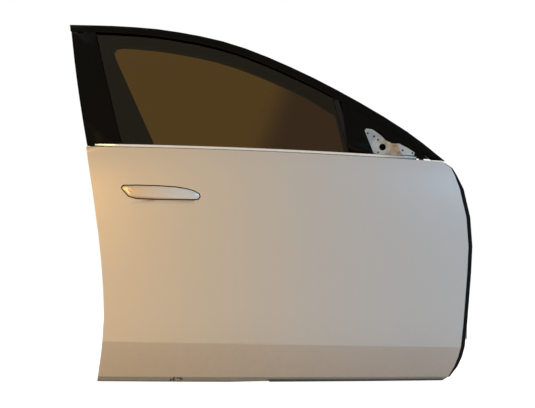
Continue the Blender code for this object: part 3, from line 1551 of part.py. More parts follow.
def hexagon_head(name, seat, heading, radius, height):
    """A six-sided bolt head standing on a seat, with a thin washer face"""
    head = bar(name, seat + heading * 0.0005, seat + heading * height, radius, zinc, 6)
    washer = bar(name + "_flange", seat, seat + heading * 0.0012, radius * 1.25, None, 12, None, cutters)
    weld(head, washer)
    return head


# Hinges

def make_hinge(name, z):
    centre = Vector((0.0, hinge_y, z))
    wall = hinge_face_x + panel_gauge + fit_gap
    origin = centre
    leaf = add_object(name + "_door_leaf", block_mesh(name + "_door_leaf", (wall, 0.051, z - hinge_half),
                                                      (wall + leaf_gauge, 0.108, z + hinge_half)), zinc,
                                                      origin)
    knuckle = knuckle_split - fit_gap
    weld(leaf, tool_block(name + "_door_arm", (wall + leaf_gauge / 2, hinge_y - 0.0085, z - knuckle),
                          (-0.001, hinge_y + 0.0085, z + knuckle)))
    weld(leaf, bar(name + "_door_knuckle", centre - Vector((0.0, 0.0, knuckle)),
                   centre + Vector((0.0, 0.0, knuckle)),
                   knuckle_radius, None, 16, None, cutters))
    cut(leaf, bar(name + "_door_bore", centre - Vector((0.0, 0.0, 0.03)), centre + Vector((0.0, 0.0, 0.03)),
                  pin_radius + fit_gap, None, 16, None, cutters))

    plate = add_object(name + "_pillar_leaf", block_mesh(
        name + "_pillar_leaf", (pillar_near_x, pillar_face_y - pillar_plate, z - hinge_half),
        (pillar_far_x, pillar_face_y, z + hinge_half)), zinc, origin)
    for level, low, high in (("low", -hinge_half + 0.002, -knuckle_split),
                             ("high", knuckle_split, hinge_half - 0.002)):
        arm = loft(name + "_pillar_arm_" + level, [
            [Vector((0.0, hinge_y - 0.008, z + h)), Vector((0.006, hinge_y - 0.006, z + h)),
             Vector((pillar_near_x + 0.008, pillar_face_y - pillar_plate / 2, z + h)),
             Vector((pillar_near_x + 0.001, pillar_face_y - pillar_plate / 2, z + h)),
             Vector((-0.004, hinge_y + 0.006, z + h))] for h in (low, high)],
            None, False, Vector((0.0, 0.0, 0.0)), cutters)
        weld(plate, arm)
        weld(plate, bar(name + "_pillar_knuckle_" + level, centre + Vector((0.0, 0.0, low)),
                        centre + Vector((0.0, 0.0, high)), knuckle_radius, None, 16, None, cutters))
    cut(plate, bar(name + "_pillar_bore", centre - Vector((0.0, 0.0, 0.05)),
                   centre + Vector((0.0, 0.0, 0.05)),
                   pin_radius + fit_gap, None, 16, None, cutters))
    for number, level in enumerate((-0.019, 0.019), 1):
        hole = Vector(((pillar_near_x + pillar_far_x) / 2 + 0.004, pillar_face_y, z + level))
        cut(plate, bar(name + "_bolt_hole_" + str(number), hole - Vector((0.0, 0.01, 0.0)),
                       hole + Vector((0.0, 0.01, 0.0)), bolt_hole_radius, None, 12, None, cutters))
    top = centre + Vector((0.0, 0.0, hinge_half + 0.002))
    pin = bar(name + "_pin", centre - Vector((0.0, 0.0, hinge_half + 0.003)), top, pin_radius, dark_steel, 16)
    weld(pin, bar(name + "_pin_head", centre + Vector((0.0, 0.0, hinge_half - 0.002 + fit_gap)),
                  top + Vector((0.0, 0.0, 0.002)), knuckle_radius * 0.85, None, 16, None, cutters))
    for number, (y, level) in enumerate(((0.096, -0.018), (0.096, 0.018)), 1):
        hexagon_head(name + "_bolt_" + str(number), Vector((wall + leaf_gauge + fit_gap, y, z + level)),
                     Vector((1.0, 0.0, 0.0)), 0.0075, 0.0055)


def tool_block(name, low, high):
    """A box as a tool"""
    return add_object(name, block_mesh(name, low, high), None, Vector((0.0, 0.0, 0.0)), cutters)


def make_reinforcements():
    """Plates behind the hinge face and behind the latch"""
    inner = hinge_face_x - fit_gap
    rows = []
    for z in stretch(lower_hinge_z - 0.045, upper_hinge_z + 0.040, 5):
        rows.append([Vector((inner - 0.030, inner_face - fit_gap, z)),
                     Vector((inner - 0.0132, inner_face - fit_gap, z)),
                     Vector((inner - 0.0025, inner_face - inner_edge, z)),
                     Vector((inner, hinge_face_y + 0.048, z)),
                     Vector((inner, hinge_face_y + 0.036, z))])
    sheet("hinge_reinforcement", rows, dark_steel, beam_gauge, True)


# Rubber seals on the door

def front_edge_x(z):
    """Front edge of the skin at a height, straight between the grid's rows"""
    heights = row_heights(belt_front, crease_front)
    row = 0
    while row < len(heights) - 2 and z > heights[row + 1]:
        row += 1
    return blend(front_x(heights[row]), front_x(heights[row + 1]),
                 (z - heights[row]) / (heights[row + 1] - heights[row]))


def make_front_edge_seal():
    rows = []
    heights = row_heights(belt_front, crease_front)
    heights = heights[1:-1] + [blend(heights[-2], heights[-1], 0.8)]
    for z in heights:
        share = z / belt_front
        x = front_edge_x(z)
        y = skin_y(x, z) + hem_depth + fit_gap
        full = min(1.0, 0.25 + (1.0 - share) * 6.0) * min(1.0, 0.40 + share * 8.0)
        wide = front_seal_width * full
        rows.append([Vector((x + dx, y + dy, z)) for dx, dy in (
            (-0.0070, 0.0), (-0.0005, 0.0), (wide * 0.6, 0.0020), (wide, 0.0060), (wide * 0.93, 0.0085),
            (wide * 0.5, 0.0055), (-0.0015, 0.0040), (-0.0070, 0.0040))])
    loft("front_edge_seal", rows, rubber)


def make_bottom_seal():
    front = front_x(0.0) - 0.004
    rows = []
    for share in stretch(0.0, 1.0, 10):
        x = blend(bottom_seal_rear_x, front, share)
        y = skin_y(x, 0.0) + hem_depth + fit_gap
        low = -blend(bottom_seal_drop, bottom_seal_drop_front, share)
        rows.append([Vector((x, y, bottom_seal_rise)), Vector((x, y, low)),
                     Vector((x, y + 0.0025, low)), Vector((x, y + 0.0035, bottom_seal_rise))])
    loft("bottom_seal", rows, rubber)


def make_weatherstrip():
    """A bulb seal round the inner face and up round the inboard side of the window frame"""
    stand = panel_gauge + fit_gap + bulb_radius
    inset = shut_face_inset + inner_edge + bulb_radius + 0.001
    face_row = len(lower_rows) + upper_rows.index(0.85)
    seat_row = face_row + 1
    heights = row_heights(belt_rear, crease_rear)
    route = []
    for z in [heights[seat_row] + 0.010,
              heights[face_row] + 0.008] + list(reversed(heights[len(lower_rows):face_row])):
        x = rear_x(z) + inset
        seat = inner_y(x, z) if z > heights[seat_row] else inner_face
        route.append(Vector((x, seat + stand * (1.3 if z > heights[face_row] else 1.0), z)))
    low_z = inset
    corner_rear = rear_x(crease_rear) + inset
    for step in range(1, 5):
        angle = math.radians(90 * step / 5)
        route.append(Vector((corner_rear + 0.080 * (1 - math.cos(angle)), inner_face + stand,
                             crease_rear - (crease_rear - low_z) * math.sin(angle))))
    front_inset = inner_edge + bulb_radius + 0.001
    heights = row_heights(belt_front, crease_front)
    corner_front = front_wall_x(crease_front) - front_inset
    for x in stretch(corner_rear + 0.080, corner_front - 0.070, 4):
        route.append(Vector((x, inner_face + stand, low_z)))
    for step in range(1, 5):
        angle = math.radians(90 * step / 5)
        route.append(Vector((corner_front - 0.070 * (1 - math.sin(angle)), inner_face + stand,
                             low_z + (crease_front - low_z) * (1 - math.cos(angle)))))
    for z in heights[len(lower_rows):face_row] + [heights[face_row] + 0.008, heights[seat_row] + 0.010]:
        x = front_wall_x(z) - front_inset
        seat = inner_y(x, z) if z > heights[seat_row] else inner_face
        route.append(Vector((x, seat + stand * (1.3 if z > heights[face_row] else 1.0), z)))
    lift = -pan_depth - frame_gauge - fit_gap - bulb_radius
    edge = offset_path(frame_path, moulding_wall + frame_gauge + bulb_radius + 0.004)
    route += [on_glass(p.x, p.y, lift) for p in edge[1:-1]]
    tube("door_weatherstrip", route, bulb_radius, rubber, True, 1)


def make_latch_cable():
    """Cable in its sleeve from the latch, outboard of the rear guide, up to the handle's base"""
    start = latch_point(latch_size[1] / 2 + 0.0052, 0.020, -latch_size[0] / 2)
    low_wall = handle_low_z - pocket_side - pocket_gauge - 0.001
    end = Vector((handle_middle.x - 0.034, handle_skin + 0.014, low_wall))
    leave = Vector((start.x, end.y - 0.006, start.z))
    reach = end + Vector((-0.005, 0.0, -0.040))
    route = []
    for share in stretch(0.0, 1.0, 9):
        first = blend(start, leave, share)
        second = blend(leave, reach, share)
        third = blend(reach, end, share)
        route.append(blend(blend(first, second, share), blend(second, third, share), share))
    tube("latch_cable", route, 0.0025, plastic, False, 1)


def ride_on(empty, names):
    """Hang pieces on an empty that stands on their joint's axis"""
    for name in names:
        thing = bpy.data.objects[name]
        thing.location = thing.location - empty.location
        thing.parent = empty


# Assembly

make_outer_skin()
make_inner_panel()
make_window_frame()
make_frame_channel()
make_header_moulding()
make_b_pillar_applique()
make_front_sail_trim()
make_mirror_plate()
make_glass()
make_run_seal()
make_guide("front_guide", glass_front_u, 1, front_stations)
make_guide("rear_guide", glass_rear_u, -1, rear_stations)
make_belt_moulding()
make_outer_belt_seal()
make_inner_belt_beam()
make_inner_belt_seal()
make_outer_belt_beam()
make_intrusion_beam()
make_rail("regulator_rail_rear", rail_rear_u)
make_rail("regulator_rail_front", rail_front_u)
make_carrier("glass_carrier_rear", rail_rear_u)
make_carrier("glass_carrier_front", rail_front_u)
make_drive()
make_handle()
make_latch()
make_latch_cable()
make_hinge("upper_hinge", upper_hinge_z)
make_hinge("lower_hinge", lower_hinge_z)
make_reinforcements()
make_front_edge_seal()
make_bottom_seal()
make_weatherstrip()

glass_pivot = bpy.data.objects.new("glass_axis", None)
glass_pivot.location = on_glass(0.0, 0.0, -glass_radius)
glass_pivot.parent = datum
door.objects.link(glass_pivot)
ride_on(glass_pivot, ("door_glass", "glass_carrier_rear", "glass_carrier_front"))

hinge_pivot = bpy.data.objects.new("door_hinge_axis", None)
hinge_pivot.location = (0.0, hinge_y, 0.0)
door.objects.link(hinge_pivot)
on_pillar = {hinge + piece for hinge in ("upper_hinge", "lower_hinge") for piece in ("_pillar_leaf", "_pin")}
for name in sorted(on_pillar):
    on_pillar |= {step.object.name for step in bpy.data.objects[name].modifiers if step.type == "BOOLEAN"}
ride_on(hinge_pivot, [thing.name for thing in datum.children if thing.name not in on_pillar])
hinge_pivot.parent = datum
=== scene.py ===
import math

import bpy
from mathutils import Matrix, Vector


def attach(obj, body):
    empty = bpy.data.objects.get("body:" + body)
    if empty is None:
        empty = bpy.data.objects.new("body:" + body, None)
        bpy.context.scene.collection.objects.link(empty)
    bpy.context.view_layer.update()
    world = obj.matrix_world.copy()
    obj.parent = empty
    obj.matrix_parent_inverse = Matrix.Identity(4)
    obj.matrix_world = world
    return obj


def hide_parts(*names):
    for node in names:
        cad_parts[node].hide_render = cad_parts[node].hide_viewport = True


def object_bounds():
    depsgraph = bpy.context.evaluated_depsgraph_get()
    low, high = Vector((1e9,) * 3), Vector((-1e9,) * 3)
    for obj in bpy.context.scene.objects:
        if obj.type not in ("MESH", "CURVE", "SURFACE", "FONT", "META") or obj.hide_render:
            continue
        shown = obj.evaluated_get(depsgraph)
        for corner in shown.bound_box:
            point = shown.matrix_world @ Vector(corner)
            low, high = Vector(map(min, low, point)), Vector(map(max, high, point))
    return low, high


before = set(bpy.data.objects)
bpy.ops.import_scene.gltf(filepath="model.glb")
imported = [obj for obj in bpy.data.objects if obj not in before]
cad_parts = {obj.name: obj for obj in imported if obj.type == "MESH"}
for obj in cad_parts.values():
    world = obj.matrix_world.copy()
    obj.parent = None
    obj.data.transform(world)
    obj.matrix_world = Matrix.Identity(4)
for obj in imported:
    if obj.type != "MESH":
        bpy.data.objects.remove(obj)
cad_box = [list(corner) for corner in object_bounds()]

# Outer skin: one steel pressing, hemmed round the inner panel. Its metallic silver-beige coat lies under
# clear lacquer, with painted warm light towards the rear, road dust low down, painted shade on the band
# below the crease and along the bottom edge of the hem, a grey band along the hem, dark sealer along the
# front half of the hem, and a small dent in the hem near the rear corner, where the paint has cracked.


class Value:
    """A shader socket that takes part in Python sums: each operator adds one Math node"""

    def __init__(self, socket):
        self.socket = socket

    def combined(self, operation, first, second):
        shading = Shading(self.socket.node.id_data)
        return shading.node("ShaderNodeMath", {"operation": operation}, {0: first, 1: second})

    def __add__(self, other):
        return self.combined("ADD", self, other)

    def __radd__(self, other):
        return self.combined("ADD", other, self)

    def __sub__(self, other):
        return self.combined("SUBTRACT", self, other)

    def __rsub__(self, other):
        return self.combined("SUBTRACT", other, self)

    def __mul__(self, other):
        return self.combined("MULTIPLY", self, other)

    def __rmul__(self, other):
        return self.combined("MULTIPLY", other, self)


class Shading:
    """A node tree of a material or of the world, to which nodes are added one by one"""

    def __init__(self, tree):
        self.tree = tree

    def node(self, kind, settings, sockets, output=0):
        """Adds a node, with its settings first and then its sockets' values or links; gives one output"""
        node = self.tree.nodes.new(kind)
        for name, setting in settings.items():
            setattr(node, name, setting)
        for name, item in sockets.items():
            if isinstance(item, Value):
                self.tree.links.new(item.socket, node.inputs[name])
            else:
                node.inputs[name].default_value = item
        return Value(node.outputs[output])

    def band(self, value, low, high):
        """0 where the value is at low, 1 where it is at high, eased between and level beyond"""
        return self.node("ShaderNodeMapRange", {"interpolation_type": "SMOOTHSTEP"},
                         {"Value": value, "From Min": low, "From Max": high})

    def mix(self, share, first, second):
        """A colour blended from first to second; sockets 6 and 7 and output 2 are the node's colours"""
        return self.node("ShaderNodeMix", {"data_type": "RGBA"}, {"Factor": share, 6: first, 7: second}, 2)

    def end(self, surface, output):
        """Makes a shader the surface of the tree's output node"""
        self.tree.links.new(surface.socket, self.tree.nodes[output].inputs["Surface"])


class Finish(Shading):
    """A material with one Principled shader, whose sockets are named with _ for each space"""

    def __init__(self, name, **constants):
        self.material = bpy.data.materials.new(name)
        self.material.use_nodes = True
        super().__init__(self.material.node_tree)
        self.shader = self.tree.nodes["Principled BSDF"]
        self.place = self.node("ShaderNodeTexCoord", {}, {}, "Object")
        for socket, amount in constants.items():
            self.shader.inputs[socket.replace("_", " ")].default_value = amount

    def set(self, **surface):
        """Links what varies over the surface to the shader's sockets"""
        for name, item in surface.items():
            self.tree.links.new(item.socket, self.shader.inputs[name.replace("_", " ")])

    def coordinate(self, axis):
        return self.node("ShaderNodeSeparateXYZ", {}, {"Vector": self.place}, axis)

    def noise(self, scale, detail=3.0, roughness=0.5, vector=None):
        sockets = {"Vector": vector or self.place, "Scale": scale, "Detail": detail, "Roughness": roughness}
        return self.node("ShaderNodeTexNoise", {}, sockets)

    def cells(self, scale, output):
        return self.node("ShaderNodeTexVoronoi", {}, {"Vector": self.place, "Scale": scale}, output)

    def relief(self, height, depth, strength):
        return self.node("ShaderNodeBump", {}, {"Height": height, "Distance": depth, "Strength": strength})


def colour(red, green, blue):
    return (red, green, blue, 1.0)


merge_distance = 0.00001


def cad_copy(node, name, body, finish, fold):
    """A piece from a CAD node's solid, with its corners merged and folds of fewer degrees shaded smooth"""
    bpy.ops.object.select_all(action="DESELECT")
    piece = bpy.data.objects.new(name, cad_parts[node].data.copy())
    bpy.context.scene.collection.objects.link(piece)
    piece.select_set(True)
    bpy.context.view_layer.objects.active = piece
    bpy.ops.object.mode_set(mode="EDIT")
    bpy.ops.mesh.select_all(action="SELECT")
    bpy.ops.mesh.remove_doubles(threshold=merge_distance)
    bpy.ops.object.mode_set(mode="OBJECT")
    bpy.ops.object.shade_smooth_by_angle(angle=math.radians(fold))
    piece.data.materials.clear()
    piece.data.materials.append(finish.material)
    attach(piece, body)
    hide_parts(node)
    return piece


def choose(piece, kind, wanted):
    """Leaves a piece in edit mode, with only the wanted ones of its corners, edges or faces selected"""
    bpy.ops.object.mode_set(mode="EDIT")
    bpy.ops.mesh.select_mode(type=kind)
    bpy.ops.mesh.select_all(action="DESELECT")
    bpy.ops.object.mode_set(mode="OBJECT")
    parts = {"VERT": piece.data.vertices, "EDGE": piece.data.edges, "FACE": piece.data.polygons}[kind]
    for part in parts:
        part.select = wanted(part)
    bpy.ops.object.mode_set(mode="EDIT")


plain_coat = colour(0.56, 0.555, 0.53)
# painted warm light: this warmer coat colour is blended in towards the rear
warm_lit_coat = colour(0.64, 0.565, 0.42)
# painted shade: a darker brown for the band that turns in below the crease
crease_shade_brown = colour(0.45, 0.33, 0.22)
dry_dust = colour(0.33, 0.28, 0.21)
hem_band_grey = colour(0.28, 0.29, 0.25)
# painted shade: near-black along the bottom edge of the hem, whose underside lies in shadow
hem_shade_dark = colour(0.12, 0.13, 0.12)
black_sealer = colour(0.03, 0.03, 0.03)
crack_brown = colour(0.03, 0.02, 0.015)

# Where each mark starts and where it is full, in metres: the names in down are below the origin, in back
# behind it, in rear and front along X, and the painted crease shade is below the crease
crease_height = -0.4033
crease_slope = -0.0164
dust_down = (0.33, 0.56)
warm_light_back = (0.20, 1.10)
crease_shade_edge = (-0.001, 0.003)
crease_shade_fade = (0.0, 0.10)
hem_down = (0.5000, 0.5025)
hem_shade_down = (0.5120, 0.5160)
dent_rear = (-0.909, -0.902)
dent_front = (-0.860, -0.866)
black_rear = (-0.610, -0.590)
black_down = (0.5050, 0.5085)

crack_share = (0.52, 0.56)

paint = Finish("silver_beige_lacquer", Metallic=0.25, Coat_Weight=0.25, Coat_Roughness=0.18)
along = paint.coordinate("X")
down = paint.coordinate("Z") * -1.0
flake = paint.cells(2600.0, "Color")
mottle = paint.noise(3.0, detail=4.0)
dust = paint.band(down + mottle * 0.12, *dust_down) * paint.noise(55.0, detail=5.0, roughness=0.65)
# painted warm light, growing towards the rear
warm_light_share = paint.band(along * -1.0 + mottle * 0.1, *warm_light_back)
coat = paint.mix(warm_light_share, plain_coat, warm_lit_coat)
below_crease = crease_height + along * crease_slope + down
# painted shade below the crease: a step at the crease line, a little stronger further down
crease_shade = paint.band(below_crease, *crease_shade_edge) * 0.34 + paint.band(below_crease, *crease_shade_fade) * 0.10
dust_and_shade = paint.mix(dust * 0.3, paint.mix(crease_shade, coat, crease_shade_brown), dry_dust)
hem_band = paint.band(down + paint.noise(40.0) * 0.002, *hem_down)
# painted shade along the bottom edge of the hem
hem_edge_shade = paint.band(down + paint.noise(60.0, detail=4.0) * 0.003, *hem_shade_down)
blackened = paint.band(along, *black_rear) * paint.band(down, *black_down)
hem = paint.mix(blackened, paint.mix(hem_edge_shade, hem_band_grey, hem_shade_dark), black_sealer)
dented = paint.band(along, *dent_rear) * paint.band(along, *dent_front)
cracked = dented * hem_band * paint.band(paint.noise(150.0, detail=2.0), *crack_share)
paint.set(Base_Color=paint.mix(cracked, paint.mix(hem_band * 0.9, dust_and_shade, hem), crack_brown),
          Roughness=0.34 + dust * 0.25 + hem_band * 0.3 + paint.noise(9.0, detail=4.0) * 0.05,
          Normal=paint.relief(paint.noise(160.0, detail=2.0) + flake * 0.2, depth=0.00003, strength=0.5))

crease_low = -0.41
crease_high = -0.38
hem_corner_height = -0.5125
bottom_seal_rear = -0.60
hem_lip = 0.003

skin = cad_copy("outer_skin", "skin", "door", paint, 30.0)
choose(skin, "EDGE", lambda side: all(crease_low < skin.data.vertices[end].co.z < crease_high
                                      for end in side.vertices))
bpy.ops.mesh.mark_sharp()
choose(skin, "VERT", lambda corner: corner.co.z < hem_corner_height and corner.co.x < bottom_seal_rear)
bpy.ops.transform.translate(value=(0.0, 0.0, -hem_lip))
bpy.ops.object.mode_set(mode="OBJECT")

# Pull handle: an injection-moulded bar in body colour, hinged on a pin at its front end. It lies flush in
# the skin with a narrow dark gap all round, and its face is domed along a middle line that falls to the
# front. Its lacquer holds a painted reflection, warm amber at the rear and cool grey at the front, and
# painted shade along its lower edge.

# painted reflection: warm amber at the rear end, cool grey at the front end
warm_reflection_lacquer = colour(0.62, 0.46, 0.26)
cool_reflection_lacquer = colour(0.60, 0.63, 0.63)
# painted shade: dark brown along the handle's lower edge
edge_shade_brown = colour(0.30, 0.17, 0.08)
cool_reflection_along = (-1.03, -0.80)
edge_shade_below = (0.007, -0.001)
spine_fall = 0.055

handle_lacquer = Finish("pull_handle_lacquer", Metallic=0.35, Coat_Weight=0.5, Coat_Roughness=0.08)
along = handle_lacquer.coordinate("X")
worn = handle_lacquer.noise(12.0, detail=4.0)
# painted reflection, blended from warm at the rear to cool at the front
cool_reflection_share = handle_lacquer.band(along + worn * 0.04, *cool_reflection_along)
reflection_tinted_lacquer = handle_lacquer.mix(cool_reflection_share, warm_reflection_lacquer, cool_reflection_lacquer)
# painted shade along the lower edge, stronger at the rear
lower_edge_shade = handle_lacquer.band(handle_lacquer.coordinate("Z") + along * spine_fall, *edge_shade_below)
ripple = handle_lacquer.noise(160.0, detail=2.0)
handle_lacquer.set(Base_Color=handle_lacquer.mix(lower_edge_shade * (0.75 - cool_reflection_share * 0.4), reflection_tinted_lacquer, edge_shade_brown),
                   Roughness=0.24 + worn * 0.08,
                   Normal=handle_lacquer.relief(ripple, depth=0.00002, strength=0.4))

facing_out = -0.9
face_depth = -0.070
skirt_depth = -0.066
column_start = -1.035
column_step = 0.010
columns = 23
row_start = 0.0520
row_step = 0.0055
rows = 8
spine_rear = -1.020
spine_front = -0.832
spine_height = 0.0735
spine_half_width = 0.003
summit_rear = -0.935
summit_front = -0.915
face_scale = (0.993, 1.0, 0.96)
face_centre = (-0.926, -0.075, 0.0697)


def raise_dome(piece, rear, front, lift, reach):
    """Pulls the face out round the stretch of its middle line from rear to front"""
    def on_stretch(corner):
        middle = spine_height - (corner.co.x - spine_rear) * spine_fall
        return (rear < corner.co.x < front and abs(corner.co.z - middle) < spine_half_width
                and corner.co.y < face_depth)

    choose(piece, "VERT", on_stretch)
    bpy.ops.transform.translate(value=(0.0, -lift, 0.0), use_proportional_edit=True,
                                proportional_edit_falloff="SPHERE", proportional_size=reach,
                                use_proportional_connected=True)


handle = cad_copy("outer_handle", "pull_handle", "handle", handle_lacquer, 50.0)
cuts = [((column_start + cut * column_step, 0.0, 0.0), (1.0, 0.0, 0.0)) for cut in range(columns)]
cuts += [((0.0, 0.0, row_start + cut * row_step), (0.0, 0.0, 1.0)) for cut in range(rows)]
bpy.ops.object.mode_set(mode="EDIT")
bpy.ops.mesh.select_mode(type="FACE")
for place, direction in cuts:
    bpy.ops.object.mode_set(mode="OBJECT")
    for face in handle.data.polygons:
        face.select = face.normal.y < facing_out and face.center.y < face_depth
    bpy.ops.object.mode_set(mode="EDIT")
    bpy.ops.mesh.bisect(plane_co=place, plane_no=direction)
raise_dome(handle, summit_rear, summit_front, lift=0.0016, reach=0.10)
raise_dome(handle, spine_rear, spine_front, lift=0.0022, reach=0.021)
choose(handle, "VERT", lambda corner: corner.co.y < skirt_depth)
bpy.ops.transform.resize(value=face_scale, center_override=face_centre)
bpy.ops.object.mode_set(mode="OBJECT")
bpy.ops.object.shade_smooth_by_angle(angle=math.radians(40.0))

# Inner panel, inner belt beam and hinge leaves: a deep-drawn steel tray, a pressed beam and cast leaves.
# They are sprayed with the body but without the full coats, so they are duller, with dry overspray in
# patches.

inner_paint = Finish("thin_body_paint", Metallic=0.35, Coat_Weight=0.25, Coat_Roughness=0.25)
overspray = inner_paint.noise(6.0, detail=5.0, roughness=0.6)
inner_paint.set(Base_Color=inner_paint.mix(overspray, colour(0.55, 0.50, 0.43), colour(0.45, 0.41, 0.35)),
                Roughness=0.42 + inner_paint.noise(30.0, detail=4.0) * 0.2,
                Normal=inner_paint.relief(inner_paint.noise(220.0), depth=0.00008, strength=0.6))
for node in ("inner_panel", "inner_belt_beam"):
    cad_copy(node, node + "_pressing", "door", inner_paint, 35.0)
for hinge in ("upper_hinge", "lower_hinge"):
    leaf = cad_copy(hinge + "_door_leaf", hinge + "_front_leaf", "door", inner_paint, 40.0)
    leaf = cad_copy(hinge + "_pillar_leaf", hinge + "_body_leaf", "body_side", inner_paint, 40.0)

# Window frame and its channels: a steel pressing and roll-formed sections welded round the glass, painted
# satin black over the electrocoat.

black_paint = Finish("satin_black_paint", Specular_IOR_Level=0.08)
patches = black_paint.noise(14.0, detail=4.0)
satin = black_paint.mix(patches, colour(0.012, 0.012, 0.010), colour(0.022, 0.021, 0.018))
black_paint.set(Base_Color=satin,
                Roughness=0.38 + black_paint.noise(40.0, detail=4.0) * 0.2,
                Normal=black_paint.relief(black_paint.noise(300.0), depth=0.00005, strength=0.5))
for node in ("window_frame", "frame_channel", "front_guide"):
    cad_copy(node, node + "_steel", "door", black_paint, 12.0)

# Roof moulding, pillar cover and sail cover: injection-moulded plastic in deep gloss black, clipped over
# the window frame.

gloss_black = Finish("gloss_black_plastic", Specular_IOR_Level=0.03)
patches = gloss_black.noise(22.0, detail=4.0)
glossy = gloss_black.mix(patches, colour(0.003, 0.003, 0.002), colour(0.005, 0.005, 0.004))
gloss_black.set(Base_Color=glossy,
                Roughness=0.30 + gloss_black.noise(60.0, detail=5.0, roughness=0.6) * 0.14,
                Normal=gloss_black.relief(gloss_black.noise(90.0, detail=2.0), depth=0.00003, strength=0.3))
for node in ("header_moulding", "b_pillar_applique", "front_sail_trim"):
    cad_copy(node, node + "_cover", "door", gloss_black, 40.0)

# Mirror plate: a die-cast aluminium foot that the mirror bolts to, with a raised bead and bare, tarnished
# metal, paler towards the front, and a painted warm reflection in brown along both sides of the bead.

rear_cast = colour(0.25, 0.28, 0.29)
middle_cast = colour(0.28, 0.23, 0.15)
front_cast = colour(0.34, 0.34, 0.33)
bright_cast = colour(0.48, 0.47, 0.43)
# painted reflection: the warm brown seen along the bead
bead_reflection_brown = colour(0.30, 0.17, 0.06)
middle_along = (-0.275, -0.235)
front_along = (-0.205, -0.190)
bead_x = -0.1906
bead_z = 0.1834
bead_lean = 0.55
bead_reflection_outer = (0.012, 0.005)
bead_reflection_inner = (0.0005, 0.003)
tarnish_share = (0.40, 0.62)

cast = Finish("die_cast_aluminium", Metallic=0.6)
along = cast.coordinate("X")
tarnish = cast.noise(26.0, detail=5.0, roughness=0.6)
past_bead = along - bead_x + (cast.coordinate("Z") - bead_z) * bead_lean
from_bead = cast.node("ShaderNodeMath", {"operation": "ABSOLUTE"}, {0: past_bead})
# painted reflection in a strip along both sides of the bead
bead_reflection = cast.band(from_bead, *bead_reflection_outer) * cast.band(from_bead, *bead_reflection_inner)
dull = cast.mix(cast.band(along, *middle_along), rear_cast, middle_cast)
dull = cast.mix(cast.band(along, *front_along), dull, front_cast)
metal = cast.mix(cast.band(tarnish, *tarnish_share) * 0.6, dull, bright_cast)
cast.set(Base_Color=cast.mix(bead_reflection * 0.75, metal, bead_reflection_brown),
         Roughness=0.42 + tarnish * 0.2,
         Normal=cast.relief(cast.noise(420.0), depth=0.00012, strength=0.6))
cad_copy("mirror_mount_plate", "mirror_foot", "door", cast, 35.0)

# Door glass: tempered, curved glass with a brown privacy tint, and painted shade that darkens it towards
# the front. It slides down on two carriers, moulded in plastic and clamped to its lower edge.

glass_lean = 0.36
front_shade_along = (-0.70, -0.58)

glass = Finish("brown_tinted_glass", Transmission_Weight=1.0, Roughness=0.02, IOR=1.27,
               Specular_Tint=colour(1.0, 0.88, 0.60))
leant = glass.coordinate("X") - glass.coordinate("Z") * glass_lean + glass.noise(3.0) * 0.10
# painted shade: the tint darkens towards the front along a slanting line
front_shade = glass.band(leant, *front_shade_along)
glass.set(Base_Color=glass.mix(front_shade, colour(0.066, 0.033, 0.0050), colour(0.024, 0.0105, 0.0035)))
cad_copy("door_glass", "pane", "glass", glass, 30.0)

# Seals: extruded rubber, matt black with a dusty bloom. They sit on the belt line, round the glass, along
# the front and bottom edges and round the inner face.

rubber = Finish("seal_rubber_bloom", Specular_IOR_Level=0.06)
bloom = rubber.noise(35.0, detail=5.0, roughness=0.6)
rubber.set(Base_Color=rubber.mix(bloom, colour(0.005, 0.005, 0.005), colour(0.012, 0.012, 0.012)),
           Roughness=0.62 + bloom * 0.2,
           Normal=rubber.relief(rubber.noise(500.0), depth=0.0001, strength=0.5))
for node in ("glass_run_seal", "outer_belt_seal", "inner_belt_seal", "front_edge_seal", "bottom_seal",
             "door_weatherstrip"):
    cad_copy(node, node + "_rubber", "door", rubber, 50.0)

# Belt strip: a roll-formed aluminium moulding along the lower edge of the glass, polished along its length
# and anodised, and darker at its front end.

front_dark_along = (-0.28, -0.17)


def drawn_noise(finish, scale, along, across):
    """Noise drawn out along the strip, as its rolling and polishing leave it"""
    sockets = {"Vector": finish.place, "Scale": (along, across, across)}
    return finish.noise(scale, vector=finish.node("ShaderNodeMapping", {}, sockets))


bright = Finish("bright_anodised_strip", Metallic=1.0)
front_darkening = bright.band(bright.coordinate("X"), *front_dark_along)
polish = bright.mix(bright.noise(40.0, detail=4.0), colour(0.62, 0.58, 0.52), colour(0.52, 0.49, 0.44))
streaks = drawn_noise(bright, 90.0, along=0.3, across=10.0)
bright.set(Base_Color=bright.mix(front_darkening, polish, colour(0.26, 0.26, 0.26)),
           Roughness=0.20 + drawn_noise(bright, 18.0, along=1.0, across=20.0) * 0.12,
           Normal=bright.relief(streaks, depth=0.00002, strength=0.4))
cad_copy("belt_moulding", "belt_strip", "door", bright, 30.0)

# Bars, brackets and latch levers inside the door: the side-impact bar and its two brackets, the belt beam
# and hinge reinforcement, the rear guide, and the latch's fork and pawl. All are high-strength steel,
# dipped in black electrocoat.

dipped = Finish("black_electrocoat")
sag = dipped.noise(18.0, detail=4.0, roughness=0.6)
dipped.set(Base_Color=dipped.mix(sag, colour(0.025, 0.026, 0.026), colour(0.055, 0.054, 0.050)),
           Roughness=0.45 + sag * 0.2,
           Normal=dipped.relief(dipped.noise(180.0), depth=0.00008, strength=0.5))
for node in ("intrusion_beam", "beam_bracket_front", "beam_bracket_rear", "outer_belt_beam", "rear_guide",
             "hinge_reinforcement"):
    cad_copy(node, node + "_dipped", "door", dipped, 40.0)
for node, body in (("latch_fork", "fork"), ("latch_pawl", "pawl")):
    cad_copy(node, node + "_dipped", body, dipped, 40.0)

# Plastic works of the door: glass carriers, cable pulleys, drum, motor case, handle base, latch case and
# the latch cable's sleeve, moulded in black plastic with a fine matt grain.

